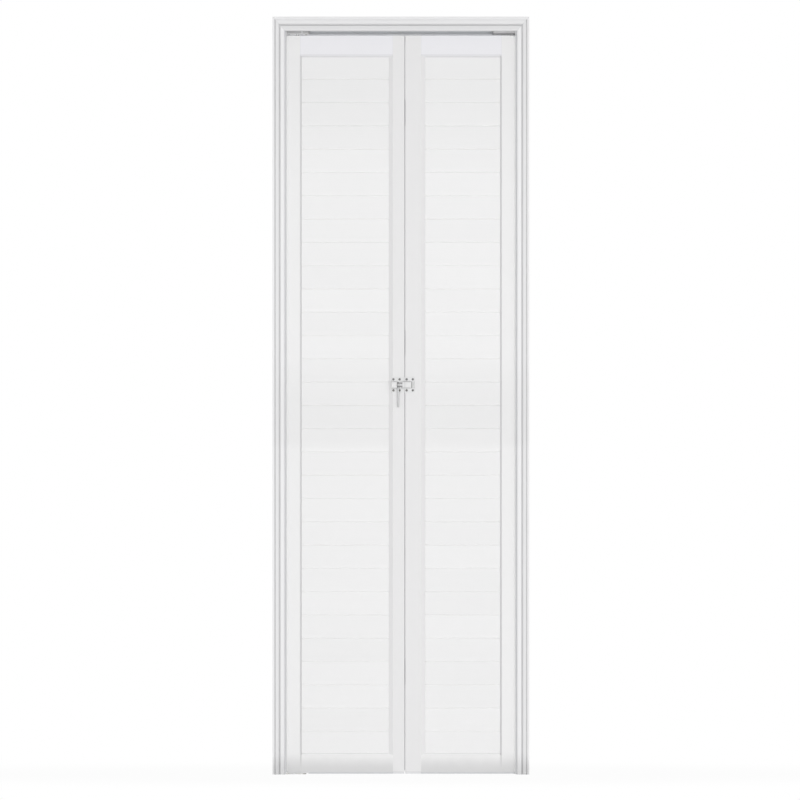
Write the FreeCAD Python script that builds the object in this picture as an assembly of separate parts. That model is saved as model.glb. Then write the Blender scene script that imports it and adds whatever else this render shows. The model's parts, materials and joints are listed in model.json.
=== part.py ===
import FreeCAD, Part
import math
import os

from FreeCAD import Vector

# Bifold door set in its own extruded frame. Millimetres, +Z up, front towards -Y.
# The origin is on the floor, in the middle of the frame's width and depth.

# Driving dimensions of the frame
frame_width = 711.0
frame_height = 2100.0
frame_depth = 100.0
jamb_face = 33.8
head_face = 39.0
wall = 1.5
edge_bevel = 0.8

# Driving dimensions of the leaves
leaf_thickness = 28.0
leaf_half_width = 318.2
leaf_bottom = 6.0
leaf_top = 2048.6
seam_x = 10.9
seam_gap = 2.0
edge_stile_box = 38.5
edge_stile_width = 43.0
left_fold_width = 43.0
right_fold_width = 55.0
bead_width = 11.0
top_rail_low = 1992.6
bottom_rail_high = 54.0
plank_count = 30
plank_half_thickness = 5.0
slot_half_height = 5.3
fin_face = 7.0
fin_length = 4.5
slot_depth = 5.5

# Turning axes, which all stand upright
pivot_x = -286.4
fold_y = 18.0
guide_x = 2.0 * seam_x - pivot_x
pin_radius = 4.0
running_gap = 0.05

# Track
track_half = 12.0
track_inner_half = 10.35
track_low = 2064.0
track_ceiling = 2092.0

# Sprung pins in the top of the stiles
bore_floor = 2008.0
pin_shoulder = 2034.0
plug_low = 2003.0
pivot_pin_top = 2068.0

# Fold hinges
hinge_lows = (250.0, 1160.0, 1800.0)
hinge_height = 70.0
knuckle = hinge_height / 2.0
barrel_radius = 3.6
hinge_pin_radius = 2.0
hinge_leaf_reach = 30.0

# Slide bolt
bolt_z = 1080.0
bolt_y = -24.0
bolt_radius = 6.0
bolt_plate_low = 1058.0
bolt_plate_high = 1102.0
screw_rows = (1064.7, 1095.3)
handle_x = -7.8
handle_low = 1017.5

half_leaf = leaf_thickness / 2.0
outer_x = frame_width / 2.0
jamb_inner_x = outer_x - jamb_face
opening_top = frame_height - head_face
front_y = -frame_depth / 2.0
back_y = frame_depth / 2.0
left_seam_x = seam_x - seam_gap / 2.0
right_seam_x = seam_x + seam_gap / 2.0

os.makedirs("parts", exist_ok=True)


# ---------------------------------------------------------------- helpers
def in_plan(height):
    return lambda a, b: Vector(a, b, height)


def in_section(across):
    return lambda a, b: Vector(across, a, b)


def in_elevation(depth):
    return lambda a, b: Vector(a, depth, b)


def outline(points, place):
    """Closed wire through (a, b) corners; a third number rounds that corner."""
    corners = [place(p[0], p[1]) for p in points]
    radii = [p[2] if len(p) > 2 else 0.0 for p in points]
    count = len(corners)
    entries = []
    exits = []
    arcs = []
    for i in range(count):
        corner = corners[i]
        if radii[i] == 0.0:
            entries.append(corner)
            exits.append(corner)
            arcs.append(None)
            continue
        back = (corners[i - 1] - corner).normalize()
        ahead = (corners[(i + 1) % count] - corner).normalize()
        half = back.getAngle(ahead) / 2.0
        reach = radii[i] / math.tan(half)
        middle = (back + ahead).normalize()
        centre = corner + middle * (radii[i] / math.sin(half))
        entries.append(corner + back * reach)
        exits.append(corner + ahead * reach)
        arcs.append(Part.Arc(entries[-1], centre - middle * radii[i], exits[-1]).toShape())
    edges = []
    for i in range(count):
        if arcs[i]:
            edges.append(arcs[i])
        following = entries[(i + 1) % count]
        if exits[i].distanceToPoint(following) > 1e-6:
            edges.append(Part.makeLine(exits[i], following))
    return Part.Wire(edges)


def prism(points, place, travel, chambers=()):
    """Extrusion of an outline, with any chambers left hollow."""
    solid = Part.Face(outline(points, place)).extrude(travel)
    for chamber in chambers:
        solid = solid.cut(Part.Face(outline(chamber, place)).extrude(travel))
    return solid


def upright(points, low, high, chambers=()):
    return prism(points, in_plan(low), Vector(0, 0, high - low), chambers)


def level(points, left, right, chambers=()):
    return prism(points, in_section(left), Vector(right - left, 0, 0), chambers)


def box(x_low, x_high, y_low, y_high, z_low, z_high):
    return Part.makeBox(x_high - x_low, y_high - y_low, z_high - z_low, Vector(x_low, y_low, z_low))


def rod(radius, start, end):
    axis = end - start
    return Part.makeCylinder(radius, axis.Length, start, axis)


def turned(profile, x, y):
    """Revolves (radius, z) points about an upright axis."""
    wire = outline(profile, lambda a, b: Vector(x + a, y, b))
    return Part.Face(wire).revolve(Vector(x, y, 0), Vector(0, 0, 1), 360)


def mirrored(points, edge, sign):
    """Turns (distance from an edge, y) points into plan points, to the left or the right of it."""
    return [(edge + sign * p[0],) + tuple(p[1:]) for p in points]


def hexagon_bar(radius, start, end):
    """Six-sided bar from one point to another."""
    axis = end - start
    turn = FreeCAD.Rotation(Vector(0, 0, 1), axis)
    corners = []
    for i in range(6):
        angle = i * math.pi / 3.0
        corners.append(start + turn.multVec(Vector(radius * math.cos(angle), radius * math.sin(angle), 0)))
    return Part.Face(Part.makePolygon(corners + corners[:1])).extrude(axis)


def screw(tip, seat, shank_radius, head_radius, head_height):
    """Self-tapping screw blank: a shank that bites into thin walls and a head on the face at seat."""
    rise = (seat - tip).normalize() * head_height
    shank = hexagon_bar(shank_radius, tip, seat)
    return shank.fuse(hexagon_bar(head_radius, seat, seat + rise))


def fused(shapes):
    whole = shapes[0]
    for shape in shapes[1:]:
        whole = whole.fuse(shape)
    return whole.removeSplitter()


def cut_all(shape, tools):
    for tool in tools:
        shape = shape.cut(tool)
    return shape


def write(name, shapes):
    solids = []
    for shape in shapes:
        solids.extend(shape.Solids)
    whole = solids[0] if len(solids) == 1 else Part.makeCompound(solids)
    whole.exportStep("parts/" + name + ".step")


# ---------------------------------------------------------------- frame
# The same casing is on the jambs and the head. Its face, from the outer edge to the doorway, is a lip, a
# thin groove, a sloped band, a deep groove and an inner band. Each corner is (distance from the outer edge,
# depth behind the front); the head's distances are stretched to its own face.
thin_groove = (6.4, 8.4, 2.6)
deep_groove = (17.3, 21.6, 7.0)
casing_face = (
    (thin_groove[0], 0.0),
    (thin_groove[0], thin_groove[2]),
    (thin_groove[1], thin_groove[2]),
    (thin_groove[1], 0.8),
    (deep_groove[0], 1.8),
    (deep_groove[0], deep_groove[2]),
    (deep_groove[1], deep_groove[2]),
    (deep_groove[1], 1.2),
)
casing_inside = (
    (thin_groove[0] - wall, wall),
    (thin_groove[0] - wall, thin_groove[2] + wall),
    (thin_groove[1] + wall, thin_groove[2] + wall),
    (thin_groove[1] + wall, 2.5),
    (deep_groove[0] - wall, 3.2),
    (deep_groove[0] - wall, deep_groove[2] + wall),
    (deep_groove[1] + wall, deep_groove[2] + wall),
    (deep_groove[1] + wall, 2.7),
)


def casing_points(stretch, corners):
    return [(stretch * across, front_y + depth) for across, depth in corners]


def jamb_section():
    inner = jamb_face
    points = [(0, front_y + edge_bevel), (edge_bevel, front_y)] + casing_points(1.0, casing_face)
    points += [(inner - edge_bevel, front_y + 1.2), (inner, front_y + 1.2 + edge_bevel)]
    points += [(inner, back_y), (0, back_y)]
    front_chamber = [(wall, front_y + wall)] + casing_points(1.0, casing_inside)
    front_chamber += [(inner - wall, front_y + 2.7), (inner - wall, -2.0), (wall, -2.0)]
    back_chamber = [(wall, 0), (inner - wall, 0), (inner - wall, back_y - wall), (wall, back_y - wall)]
    return points, front_chamber, back_chamber


def mitre_wedge(side):
    """Everything outside and above the mitre line of one top corner."""
    beyond = 50.0
    rise = (frame_height - opening_top) / jamb_face
    near = side * (jamb_inner_x - beyond)
    low = opening_top - beyond * rise
    high = frame_height + beyond * rise
    points = [(near, low), (side * (outer_x + beyond), high), (near, high)]
    return prism(points, in_elevation(front_y - 5.0), Vector(0, frame_depth + 10.0, 0))


fixing_heights = (200.0, 1900.0)
fixing_y = 30.0
fixing_radius = 2.75


def make_jamb(side):
    points, front_chamber, back_chamber = jamb_section()
    edge = side * outer_x
    solid = upright(
        mirrored(points, edge, -side),
        0,
        frame_height,
        [mirrored(front_chamber, edge, -side), mirrored(back_chamber, edge, -side)],
    )
    solid = solid.cut(mitre_wedge(side))
    for height in fixing_heights:
        start = Vector(side * (jamb_inner_x - 5.0), fixing_y, height)
        solid = solid.cut(rod(fixing_radius, start, Vector(side * (outer_x + 5.0), fixing_y, height)))
    return solid


pocket_half = 22.0


def head_section():
    stretch = head_face / jamb_face
    top = frame_height
    points = [(front_y + edge_bevel, top), (front_y, top - edge_bevel)]
    points += [(p[1], top - p[0]) for p in casing_points(stretch, casing_face)]
    points += [(front_y + 1.2, opening_top + edge_bevel), (front_y + 1.2 + edge_bevel, opening_top)]
    points += [(-pocket_half, opening_top), (-pocket_half, track_ceiling)]
    points += [(pocket_half, track_ceiling), (pocket_half, opening_top)]
    points += [(back_y, opening_top), (back_y, top)]
    front_chamber = [(front_y + wall, top - wall)]
    front_chamber += [(p[1], top - p[0]) for p in casing_points(stretch, casing_inside)]
    front_chamber += [(front_y + 2.7, opening_top + wall), (-pocket_half - wall, opening_top + wall)]
    front_chamber += [(-pocket_half - wall, top - wall)]
    back_low = opening_top + wall
    back_chamber = [(pocket_half + wall, back_low), (back_y - wall, back_low)]
    back_chamber += [(back_y - wall, top - wall), (pocket_half + wall, top - wall)]
    half = pocket_half - 1.0
    roof = track_ceiling + wall
    middle = [(-half, roof), (half, roof), (half, top - wall), (-half, top - wall)]
    return points, [front_chamber, back_chamber, middle]


track_screw_xs = (-225.0, 0.0, 225.0)
fascia_screw_xs = (-270.0, 0.0, 270.0)
fascia_screw_y = 34.0
fascia_half = jamb_inner_x - 0.5
pivot_screw_xs = (-310.5, -262.5)


def make_head():
    points, chambers = head_section()
    solid = level(points, -outer_x, outer_x, chambers)
    keep = prism(
        [
            (-outer_x, frame_height),
            (-jamb_inner_x, opening_top),
            (jamb_inner_x, opening_top),
            (outer_x, frame_height),
        ],
        in_elevation(front_y - 5.0),
        Vector(0, frame_depth + 10.0, 0),
    )
    return solid.common(keep)


key_reach_down = 61.0
key_reach_in = 35.0


def make_corner_key(side):
    """Cast L-block in the back chambers, with one leg in the jamb and one in the head."""
    inset = wall + 0.3
    outside = outer_x - inset
    inside = jamb_inner_x + inset
    top = frame_height - inset
    bottom = opening_top + inset
    foot = opening_top + inset - key_reach_down
    tip = inside - key_reach_in
    points = [(outside, foot), (inside, foot), (inside, bottom), (tip, bottom), (tip, top), (outside, top)]
    points = [(side * a, b) for a, b in points]
    return prism(points, in_elevation(pocket_half + inset), Vector(0, back_y - pocket_half - 2 * inset, 0))


fascia_low = 2036.0


def make_fascia():
    """Angle under the back of the head that hides the gap over the leaves."""
    points = [(26, opening_top), (26, opening_top - 2), (42, opening_top - 2), (42, fascia_low)]
    points += [(44, fascia_low), (44, opening_top, 1.5)]
    return level(points, -fascia_half, fascia_half)


def make_fascia_screws():
    screws = []
    for x in fascia_screw_xs:
        seat = Vector(x, fascia_screw_y, opening_top - 2.0)
        screws.append(screw(Vector(x, fascia_screw_y, opening_top + 7.0), seat, 1.5, 3.1, 1.6))
    return screws


track_web = 1.65
track_end = jamb_inner_x - 0.5


def make_track():
    """Inverted channel with small outward feet, in which the guide wheel runs."""
    foot = 15.0
    foot_high = track_low + 1.4
    half = [(track_half, track_ceiling), (track_half, foot_high), (foot, foot_high), (foot, track_low)]
    half += [(track_inner_half, track_low), (track_inner_half, track_ceiling - track_web)]
    points = half + [(-p[0],) + tuple(p[1:]) for p in reversed(half)]
    return level(points, -track_end, track_end)


def make_track_screws():
    screws = []
    for x in track_screw_xs:
        seat = Vector(x, 0, track_ceiling - track_web)
        screws.append(screw(Vector(x, 0, track_ceiling + 4.5), seat, 2.0, 3.5, 1.8))
    return screws


bracket_face_low = 2051.5
bracket_right = -251.8


def make_pivot_bracket_top():
    """Moulded block in the left end of the track, bored for the top pivot pin."""
    left = -track_end
    seat = track_low - 0.4
    nose = bracket_right - 9.0
    top = track_ceiling - track_web - 0.55
    body = [(left, seat), (nose, seat), (nose, top - 7.8), (nose - 7.0, top), (left, top)]
    inner = prism(body, in_elevation(-10.0), Vector(0, 20.0, 0))
    flange_plan = [(left, -16), (bracket_right - 5, -16), (bracket_right, -11)]
    flange_plan += [(bracket_right, 11), (bracket_right - 5, 16), (left, 16)]
    flange = upright(flange_plan, bracket_face_low, seat)
    solid = fused([inner, flange])
    bore_top = pivot_pin_top + 12.0
    start = Vector(pivot_x, 0, bracket_face_low - 1)
    return solid.cut(rod(pin_radius + running_gap, start, Vector(pivot_x, 0, bore_top)))


def make_pivot_bracket_top_screws():
    screws = []
    for x in pivot_screw_xs:
        seat = Vector(x, 0, bracket_face_low)
        screws.append(screw(Vector(x, 0, track_ceiling + 4.5), seat, 2.0, 3.6, 1.6))
    return screws


stop_left = 252.0
wheel_radius = 10.0


def end_stop_screw_places():
    return [(280.0, y) for y in (-13.4, 13.4)]


def make_end_stop():
    """Fork under the right end of the track, open towards the travel of the guide wheel."""
    outer = [(stop_left, -11), (stop_left + 5, -16), (track_end, -16), (track_end, 16)]
    outer += [(stop_left + 5, 16), (stop_left, 11)]
    solid = upright(outer, bracket_face_low, track_low - 0.4)
    slot = wheel_radius + 0.5
    closed = guide_x + 12.2
    mouth = [(stop_left - 1, -slot - 3.5), (stop_left + 9, -slot), (closed, -slot, 6), (closed, slot, 6)]
    mouth += [(stop_left + 9, slot), (stop_left - 1, slot + 3.5)]
    return solid.cut(upright(mouth, bracket_face_low - 1, track_low))


def make_end_stop_screws():
    screws = []
    for x, y in end_stop_screw_places():
        seat = Vector(x, y, bracket_face_low)
        screws.append(screw(Vector(x, y, track_low + 3.0), seat, 1.2, 2.1, 1.1))
    return screws


foot_plate = 3.0
collar_high = 5.4
upstand_y = (18.0, 44.0)
foot_screw_heights = (17.0, 37.0)
foot_screw_y = 31.0


def make_pivot_bracket_bottom():
    """Steel foot under the pivot stile, with a bored collar and an upstand on the jamb."""
    left = -jamb_inner_x
    right = pivot_x + 24
    plan = [(left, -16), (right - 8, -16), (right, -8), (right, 8), (right - 8, 16), (left + 22, 16)]
    plan += [(left + 22, upstand_y[1]), (left, upstand_y[1])]
    plate = upright(plan, 0, foot_plate)
    side = [(upstand_y[0], 0), (upstand_y[1], 0), (upstand_y[1], 40), (upstand_y[1] - 6, 46)]
    side += [(upstand_y[0] + 6, 46), (upstand_y[0], 40)]
    upstand = level(side, left, left + 3.0)
    collar = rod(9.0, Vector(pivot_x, 0, foot_plate), Vector(pivot_x, 0, collar_high))
    solid = fused([plate, upstand, collar])
    start = Vector(pivot_x, 0, -1)
    return solid.cut(rod(pin_radius + running_gap, start, Vector(pivot_x, 0, collar_high + 1)))


def foot_screw_lines():
    """Tip and seat of the two screws that hold the foot's upstand to the jamb."""
    x = -jamb_inner_x
    return [(Vector(x - 9.0, foot_screw_y, z), Vector(x + 3.0, foot_screw_y, z)) for z in foot_screw_heights]


def make_foot_screws():
    return [screw(tip, seat, 2.0, 3.8, 2.2) for tip, seat in foot_screw_lines()]


write("frame_jamb_left", [make_jamb(-1)])
write("frame_jamb_right", [make_jamb(1)])
write("frame_head", [make_head()])
write("frame_corner_keys", [make_corner_key(-1), make_corner_key(1)])
write("head_fascia", [make_fascia()])
write("fascia_screws", make_fascia_screws())
write("top_track", [make_track()])
write("track_screws", make_track_screws())
write("pivot_bracket_top", [make_pivot_bracket_top()])
write("pivot_bracket_top_screws", make_pivot_bracket_top_screws())
write("track_end_stop", [make_end_stop()])
write("end_stop_screws", make_end_stop_screws())
write("pivot_bracket_bottom", [make_pivot_bracket_bottom()])
write("pivot_bracket_bottom_screws", make_foot_screws())


# ---------------------------------------------------------------- stiles and rails
stile_low = leaf_bottom + 1.5
stile_high = leaf_top - 1.5


def edge_stile_outline():
    """Box with a bullnosed outer edge and two fins that hold the plank ends."""
    b = edge_stile_box
    w = edge_stile_width
    half = [(0, half_leaf, 3.0), (b, half_leaf), (b, fin_face), (w, fin_face), (w, slot_half_height)]
    half += [(b, slot_half_height)]
    return half + [(p[0], -p[1]) + tuple(p[2:]) for p in reversed(half)]


def edge_stile_chamber():
    b = edge_stile_box
    y = half_leaf - wall
    corner = 2.0
    half = [(wall, y - corner), (wall + corner, y), (b - wall, y)]
    return half + [(p[0], -p[1]) for p in reversed(half)]


def fold_stile_outline(width):
    """Box whose inner edge slopes down to the planks as a wide bead."""
    flat = width - bead_width
    half = [(0, half_leaf - edge_bevel), (edge_bevel, half_leaf), (flat, half_leaf, 1.5)]
    half += [(width, fin_face), (width, slot_half_height)]
    half += [(width - slot_depth, slot_half_height)]
    return half + [(p[0], -p[1]) + tuple(p[2:]) for p in reversed(half)]


def fold_stile_chamber(width):
    y = half_leaf - wall
    tip = width - 5.2
    half = [(wall, y), (width - bead_width - 0.4, y), (tip, 8.6), (tip, 6.8), (width - 7.0, 6.8)]
    return half + [(p[0], -p[1]) for p in reversed(half)]


def filled(points):
    """The same outline with the plank slot closed, used to shape what butts against it."""
    return [p for p in points if abs(p[1]) > slot_half_height + 0.01]


left_edge_outline = mirrored(edge_stile_outline(), -leaf_half_width, 1)
left_fold_outline = mirrored(fold_stile_outline(left_fold_width), left_seam_x, -1)
right_edge_outline = mirrored(edge_stile_outline(), leaf_half_width, -1)
right_fold_outline = mirrored(fold_stile_outline(right_fold_width), right_seam_x, 1)


plate_face = -half_leaf - 2.0
plate_screw_radius = 1.75
left_screw_xs = (-20.8, -3.6)
right_screw_xs = (15.9, 33.0)


def plate_screw_lines(xs):
    """Tip and head face of each screw that holds a bolt plate on a fold stile."""
    lines = []
    for x in xs:
        for z in screw_rows:
            lines.append((Vector(x, -half_leaf + 6.0, z), Vector(x, plate_face, z)))
    return lines


def hinge_screw_lines(sign, low):
    """Tip and head face of the three screws of one hinge leaf."""
    lines = []
    for reach, rise in ((21.0, 11.0), (14.0, 35.0), (21.0, 59.0)):
        x = seam_x + sign * reach
        z = low + rise
        lines.append((Vector(x, half_leaf - 6.0, z), Vector(x, half_leaf + 2.0, z)))
    return lines


def make_stile(points, chamber, edge, sign):
    return upright(points, stile_low, stile_high, [mirrored(chamber, edge, sign)])


left_pivot_stile = make_stile(left_edge_outline, edge_stile_chamber(), -leaf_half_width, 1)
left_fold_stile = make_stile(left_fold_outline, fold_stile_chamber(left_fold_width), left_seam_x, -1)
right_guide_stile = make_stile(right_edge_outline, edge_stile_chamber(), leaf_half_width, -1)
right_fold_stile = make_stile(right_fold_outline, fold_stile_chamber(right_fold_width), right_seam_x, 1)


def rail_section(low, high, fins_up):
    """Box with two fins on the plank side."""
    near = high if fins_up else low
    far = low if fins_up else high
    tip = near + fin_length if fins_up else near - fin_length
    half = [(half_leaf, far), (half_leaf, near), (fin_face, near), (fin_face, tip)]
    half += [(slot_half_height, tip), (slot_half_height, near)]
    points = half + [(-p[0],) + tuple(p[1:]) for p in reversed(half)]
    y = half_leaf - wall
    chamber = [(y, low + wall), (y, high - wall), (-y, high - wall), (-y, low + wall)]
    return points, chamber


def make_rail(left, right, low, high, fins_up, stiles):
    points, chamber = rail_section(low, high, fins_up)
    rail = level(points, left, right, [chamber])
    return cut_all(rail, stiles)


def stile_block(points):
    return upright(filled(points), 0, frame_height)


left_blocks = [stile_block(left_edge_outline), stile_block(left_fold_outline)]
right_blocks = [stile_block(right_fold_outline), stile_block(right_edge_outline)]
left_rail_ends = (-leaf_half_width + edge_stile_box, left_seam_x - left_fold_width + bead_width)
right_rail_ends = (right_seam_x + right_fold_width - bead_width, leaf_half_width - edge_stile_box)

write("left_pivot_stile", [left_pivot_stile])
write("left_fold_stile", [left_fold_stile])
write("right_guide_stile", [right_guide_stile])
write("right_fold_stile", [right_fold_stile])
for side, ends, blocks in (("left", left_rail_ends, left_blocks), ("right", right_rail_ends, right_blocks)):
    write(side + "_top_rail", [make_rail(ends[0], ends[1], top_rail_low, leaf_top, False, blocks)])
    write(side + "_bottom_rail", [make_rail(ends[0], ends[1], leaf_bottom, bottom_rail_high, True, blocks)])


# ---------------------------------------------------------------- rail keys
def make_rail_keys(left, right):
    """Cast blocks in the rail ends, against the stile walls."""
    keys = []
    key_length = 26.0
    y = half_leaf - wall - 0.3
    spans = ((left + 0.2, left + key_length), (right - key_length, right - 0.2))
    for low, high in ((leaf_bottom, bottom_rail_high), (top_rail_low, leaf_top)):
        for near, far in spans:
            keys.append(box(near, far, -y, y, low + wall + 0.3, high - wall - 0.3))
    return keys


left_key_ends = (left_rail_ends[0] + 4.8, left_seam_x - left_fold_width - 0.3)
right_key_ends = (right_seam_x + right_fold_width + 0.3, right_rail_ends[1] - 4.8)
write("left_rail_keys", make_rail_keys(left_key_ends[0], left_key_ends[1]))
write("right_rail_keys", make_rail_keys(right_key_ends[0], right_key_ends[1]))


# ---------------------------------------------------------------- planks
plank_low = bottom_rail_high + 0.3
plank_pitch = (top_rail_low - 0.3 - plank_low) / plank_count


def make_plank(left, right, index):
    """Foamed plank with bevelled long edges, a thick tongue on top and a groove beneath."""
    low = plank_low + index * plank_pitch
    high = low + plank_pitch
    face = plank_half_thickness
    bevel = 1.5
    tongue = face - bevel - 0.1
    groove = tongue + 0.2
    half = [(groove, low + 4.2), (groove, low + 0.1), (face, low + bevel)]
    half += [(face, high - bevel), (tongue, high - 0.1)]
    if index < plank_count - 1:
        half.append((tongue, high + 3.6))
    points = half + [(-p[0], p[1]) for p in reversed(half)]
    return level(points, left, right)


left_panel = (-leaf_half_width + edge_stile_box + 0.5, left_seam_x - left_fold_width + 5.0)
right_panel = (right_seam_x + right_fold_width - 5.0, leaf_half_width - edge_stile_box - 0.5)
write("left_planks", [make_plank(left_panel[0], left_panel[1], i) for i in range(plank_count)])
write("right_planks", [make_plank(right_panel[0], right_panel[1], i) for i in range(plank_count)])


# ---------------------------------------------------------------- panel gaskets
def gasket_section(near, step):
    """Bead on a fin: (distance from the frame member, y) with a sloped top."""
    far = near + step * 4.3
    return [(near, fin_face), (far, fin_face), (far, 7.8), (near + step * 1.8, 9.8), (near, 9.8)]


def make_gasket(edge, sign, fold_end):
    """Three-sided bead, front and back: down the edge stile and along both rails."""
    strips = []
    stile_face = edge + sign * edge_stile_box
    for face in (1, -1):
        section = [(p[0], face * p[1]) + tuple(p[2:]) for p in gasket_section(stile_face, sign)]
        strips.append(upright(section, bottom_rail_high, top_rail_low))
        for rail_edge, step in ((bottom_rail_high, 1), (top_rail_low, -1)):
            section = [(face * p[1], p[0]) + tuple(p[2:]) for p in gasket_section(rail_edge, step)]
            start = min(stile_face + sign * 4.4, fold_end)
            end = max(stile_face + sign * 4.4, fold_end)
            strips.append(level(section, start, end))
    return strips


def trimmed(strips, block):
    return [strip.cut(block) for strip in strips]


left_gasket = make_gasket(-leaf_half_width, 1, left_rail_ends[1])
right_gasket = make_gasket(leaf_half_width, -1, right_rail_ends[0])
write("left_panel_gasket", trimmed(left_gasket, left_blocks[1]))
write("right_panel_gasket", trimmed(right_gasket, right_blocks[0]))


# ---------------------------------------------------------------- stile end plugs
def lid_outline(edge, sign, reach, corner):
    """Flat cap as wide as a stile's box, with its outer corners cut off."""
    half = [(0.2, half_leaf - corner), (corner + 0.2, half_leaf), (reach, half_leaf)]
    return mirrored(half + [(p[0], -p[1]) for p in reversed(half)], edge, sign)


def make_plug(lid_points, boss, at_top, depth):
    lid_low = stile_high if at_top else leaf_bottom
    lid = upright(lid_points, lid_low, lid_low + 1.5)
    low = stile_high - depth if at_top else stile_low
    core = upright(boss, low, low + depth)
    return lid.fuse(core).removeSplitter()


def boss_outline(edge, sign, reach):
    y = half_leaf - wall - 0.2
    near = wall + 0.2
    corner = 2.0
    half = [(near, y - corner), (near + corner, y), (reach, y)]
    return mirrored(half + [(p[0], -p[1]) for p in reversed(half)], edge, sign)


def bored_for_sprung_pin(plug, x):
    plug = plug.cut(rod(pin_radius + running_gap, Vector(x, 0, bore_floor), Vector(x, 0, leaf_top + 1)))
    return plug.cut(rod(2.0 + running_gap, Vector(x, 0, plug_low - 1), Vector(x, 0, bore_floor + 1)))


deep = stile_high - plug_low
shallow = 20.0
edge_reach = edge_stile_box - wall - 0.2
left_edge_boss = boss_outline(-leaf_half_width, 1, edge_reach)
right_edge_boss = boss_outline(leaf_half_width, -1, edge_reach)
left_fold_boss = boss_outline(left_seam_x, -1, left_fold_width - bead_width - 1.5)
right_fold_boss = boss_outline(right_seam_x, 1, right_fold_width - bead_width - 1.5)
left_edge_lid = lid_outline(-leaf_half_width, 1, edge_stile_box, 2.4)
right_edge_lid = lid_outline(leaf_half_width, -1, edge_stile_box, 2.4)
left_fold_lid = lid_outline(left_seam_x, -1, left_fold_width - bead_width, 0.6)
right_fold_lid = lid_outline(right_seam_x, 1, right_fold_width - bead_width, 0.6)

bottom_pin_top = 40.0
left_top_plug = bored_for_sprung_pin(make_plug(left_edge_lid, left_edge_boss, True, deep), pivot_x)
right_top_plug = bored_for_sprung_pin(make_plug(right_edge_lid, right_edge_boss, True, deep), guide_x)
left_bottom_plug = make_plug(left_edge_lid, left_edge_boss, False, 38.0)
bottom_pin_hole = rod(pin_radius, Vector(pivot_x, 0, 0), Vector(pivot_x, 0, bottom_pin_top))
left_bottom_plug = left_bottom_plug.cut(bottom_pin_hole)
left_fold_plugs = [make_plug(left_fold_lid, left_fold_boss, at_top, shallow) for at_top in (True, False)]
right_fold_plugs = [make_plug(right_fold_lid, right_fold_boss, at_top, shallow) for at_top in (True, False)]
right_bottom_plug = make_plug(right_edge_lid, right_edge_boss, False, shallow)
write("left_stile_plugs", [left_top_plug, left_bottom_plug] + left_fold_plugs)
write("right_stile_plugs", [right_top_plug, right_bottom_plug] + right_fold_plugs)


# ---------------------------------------------------------------- pivots and guide
tail_radius = 2.0
tail_bottom = 1999.6


def sprung_pin(x, top_points):
    """Turned pin: a nut under the plug, a thin tail inside the spring and a full shank above it."""
    profile = [(0, tail_bottom), (tail_radius, tail_bottom)]
    profile += [(tail_radius, pin_shoulder), (pin_radius, pin_shoulder)]
    nut = hexagon_bar(3.4, Vector(x, 0, tail_bottom), Vector(x, 0, plug_low - 0.4))
    return turned(profile + top_points, x, 0).fuse(nut)


pivot_tip = [(pin_radius, pivot_pin_top), (0, pivot_pin_top)]
neck_low = 2067.3
neck_high = 2080.8
neck_radius = 2.5
guide_tip = [(pin_radius, neck_low), (neck_radius, neck_low), (neck_radius, neck_high), (0, neck_high)]
write("top_pivot_pin", [sprung_pin(pivot_x, pivot_tip)])
write("guide_pin", [sprung_pin(guide_x, guide_tip)])


def octagon(x, radius):
    """Corners of an eight-sided ring in plan, with the radius to its flats."""
    reach = radius / math.cos(math.pi / 8.0)
    corners = []
    for i in range(8):
        angle = (i + 0.5) * math.pi / 4.0
        corners.append((x + reach * math.cos(angle), reach * math.sin(angle)))
    return corners


def eight_sided_ring(x, inner_radius, outer_radius, low, high):
    return upright(octagon(x, outer_radius), low, high, [octagon(x, inner_radius)])


spring_low = bore_floor + 0.2
spring_high = pin_shoulder - 0.2
write("top_pivot_spring", [eight_sided_ring(pivot_x, 2.3, 3.5, spring_low, spring_high)])
write("guide_spring", [eight_sided_ring(guide_x, 2.3, 3.5, spring_low, spring_high)])

bottom_pin_low = 0.6
bottom_pin = rod(pin_radius, Vector(pivot_x, 0, bottom_pin_low), Vector(pivot_x, 0, bottom_pin_top))
write("bottom_pivot_pin", [bottom_pin])

wheel_low = 2067.9
wheel_high = 2078.4
wheel_bore = neck_radius + running_gap
wheel = [(wheel_bore, wheel_low), (wheel_radius, wheel_low)]
wheel += [(wheel_radius, wheel_high), (wheel_bore, wheel_high)]
write("guide_wheel", [turned(wheel, guide_x, 0)])
write("guide_wheel_clip", [eight_sided_ring(guide_x, neck_radius, 4.6, wheel_high + 0.5, wheel_high + 1.3)])


# ---------------------------------------------------------------- seals
def make_sweep(left, right):
    """Soft apron under the bottom rail, nearly as thick as the leaf, which stops just short of the floor."""
    half = [(13.6, leaf_bottom), (13.6, leaf_bottom - 3.4), (12.0, leaf_bottom - 4.2)]
    return level(half + [(-p[0], p[1]) for p in reversed(half)], left, right)


def make_jamb_seal(side):
    """Lip on the reveal of a jamb, which closes the gap beside the leaf just in front of its face."""
    root = jamb_inner_x
    lip = leaf_half_width - 0.8
    points = [(root, -20.5), (lip + 0.6, -18.0), (lip, -17.4), (lip, -16.8), (root, -16.3)]
    return upright([(side * p[0], p[1]) for p in points], 0, opening_top)


write("left_sweep_seal", [make_sweep(pivot_x + 30.0, left_seam_x - left_fold_width - 0.5)])
write("right_sweep_seal", [make_sweep(right_seam_x + right_fold_width + 0.5, right_rail_ends[1] - 0.5)])
write("jamb_seals", [make_jamb_seal(side) for side in (-1, 1)])

seal_face = left_seam_x + 1.5
seal = [(left_seam_x, -10.5), (seal_face, -9.6), (seal_face, -5.4), (left_seam_x, -4.5)]
write("fold_seal", [upright(seal, stile_low + 4, stile_high - 4)])


# ---------------------------------------------------------------- fold hinges
def on_fold_axis(radius, low, high):
    return rod(radius, Vector(seam_x, fold_y, low), Vector(seam_x, fold_y, high))


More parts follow.
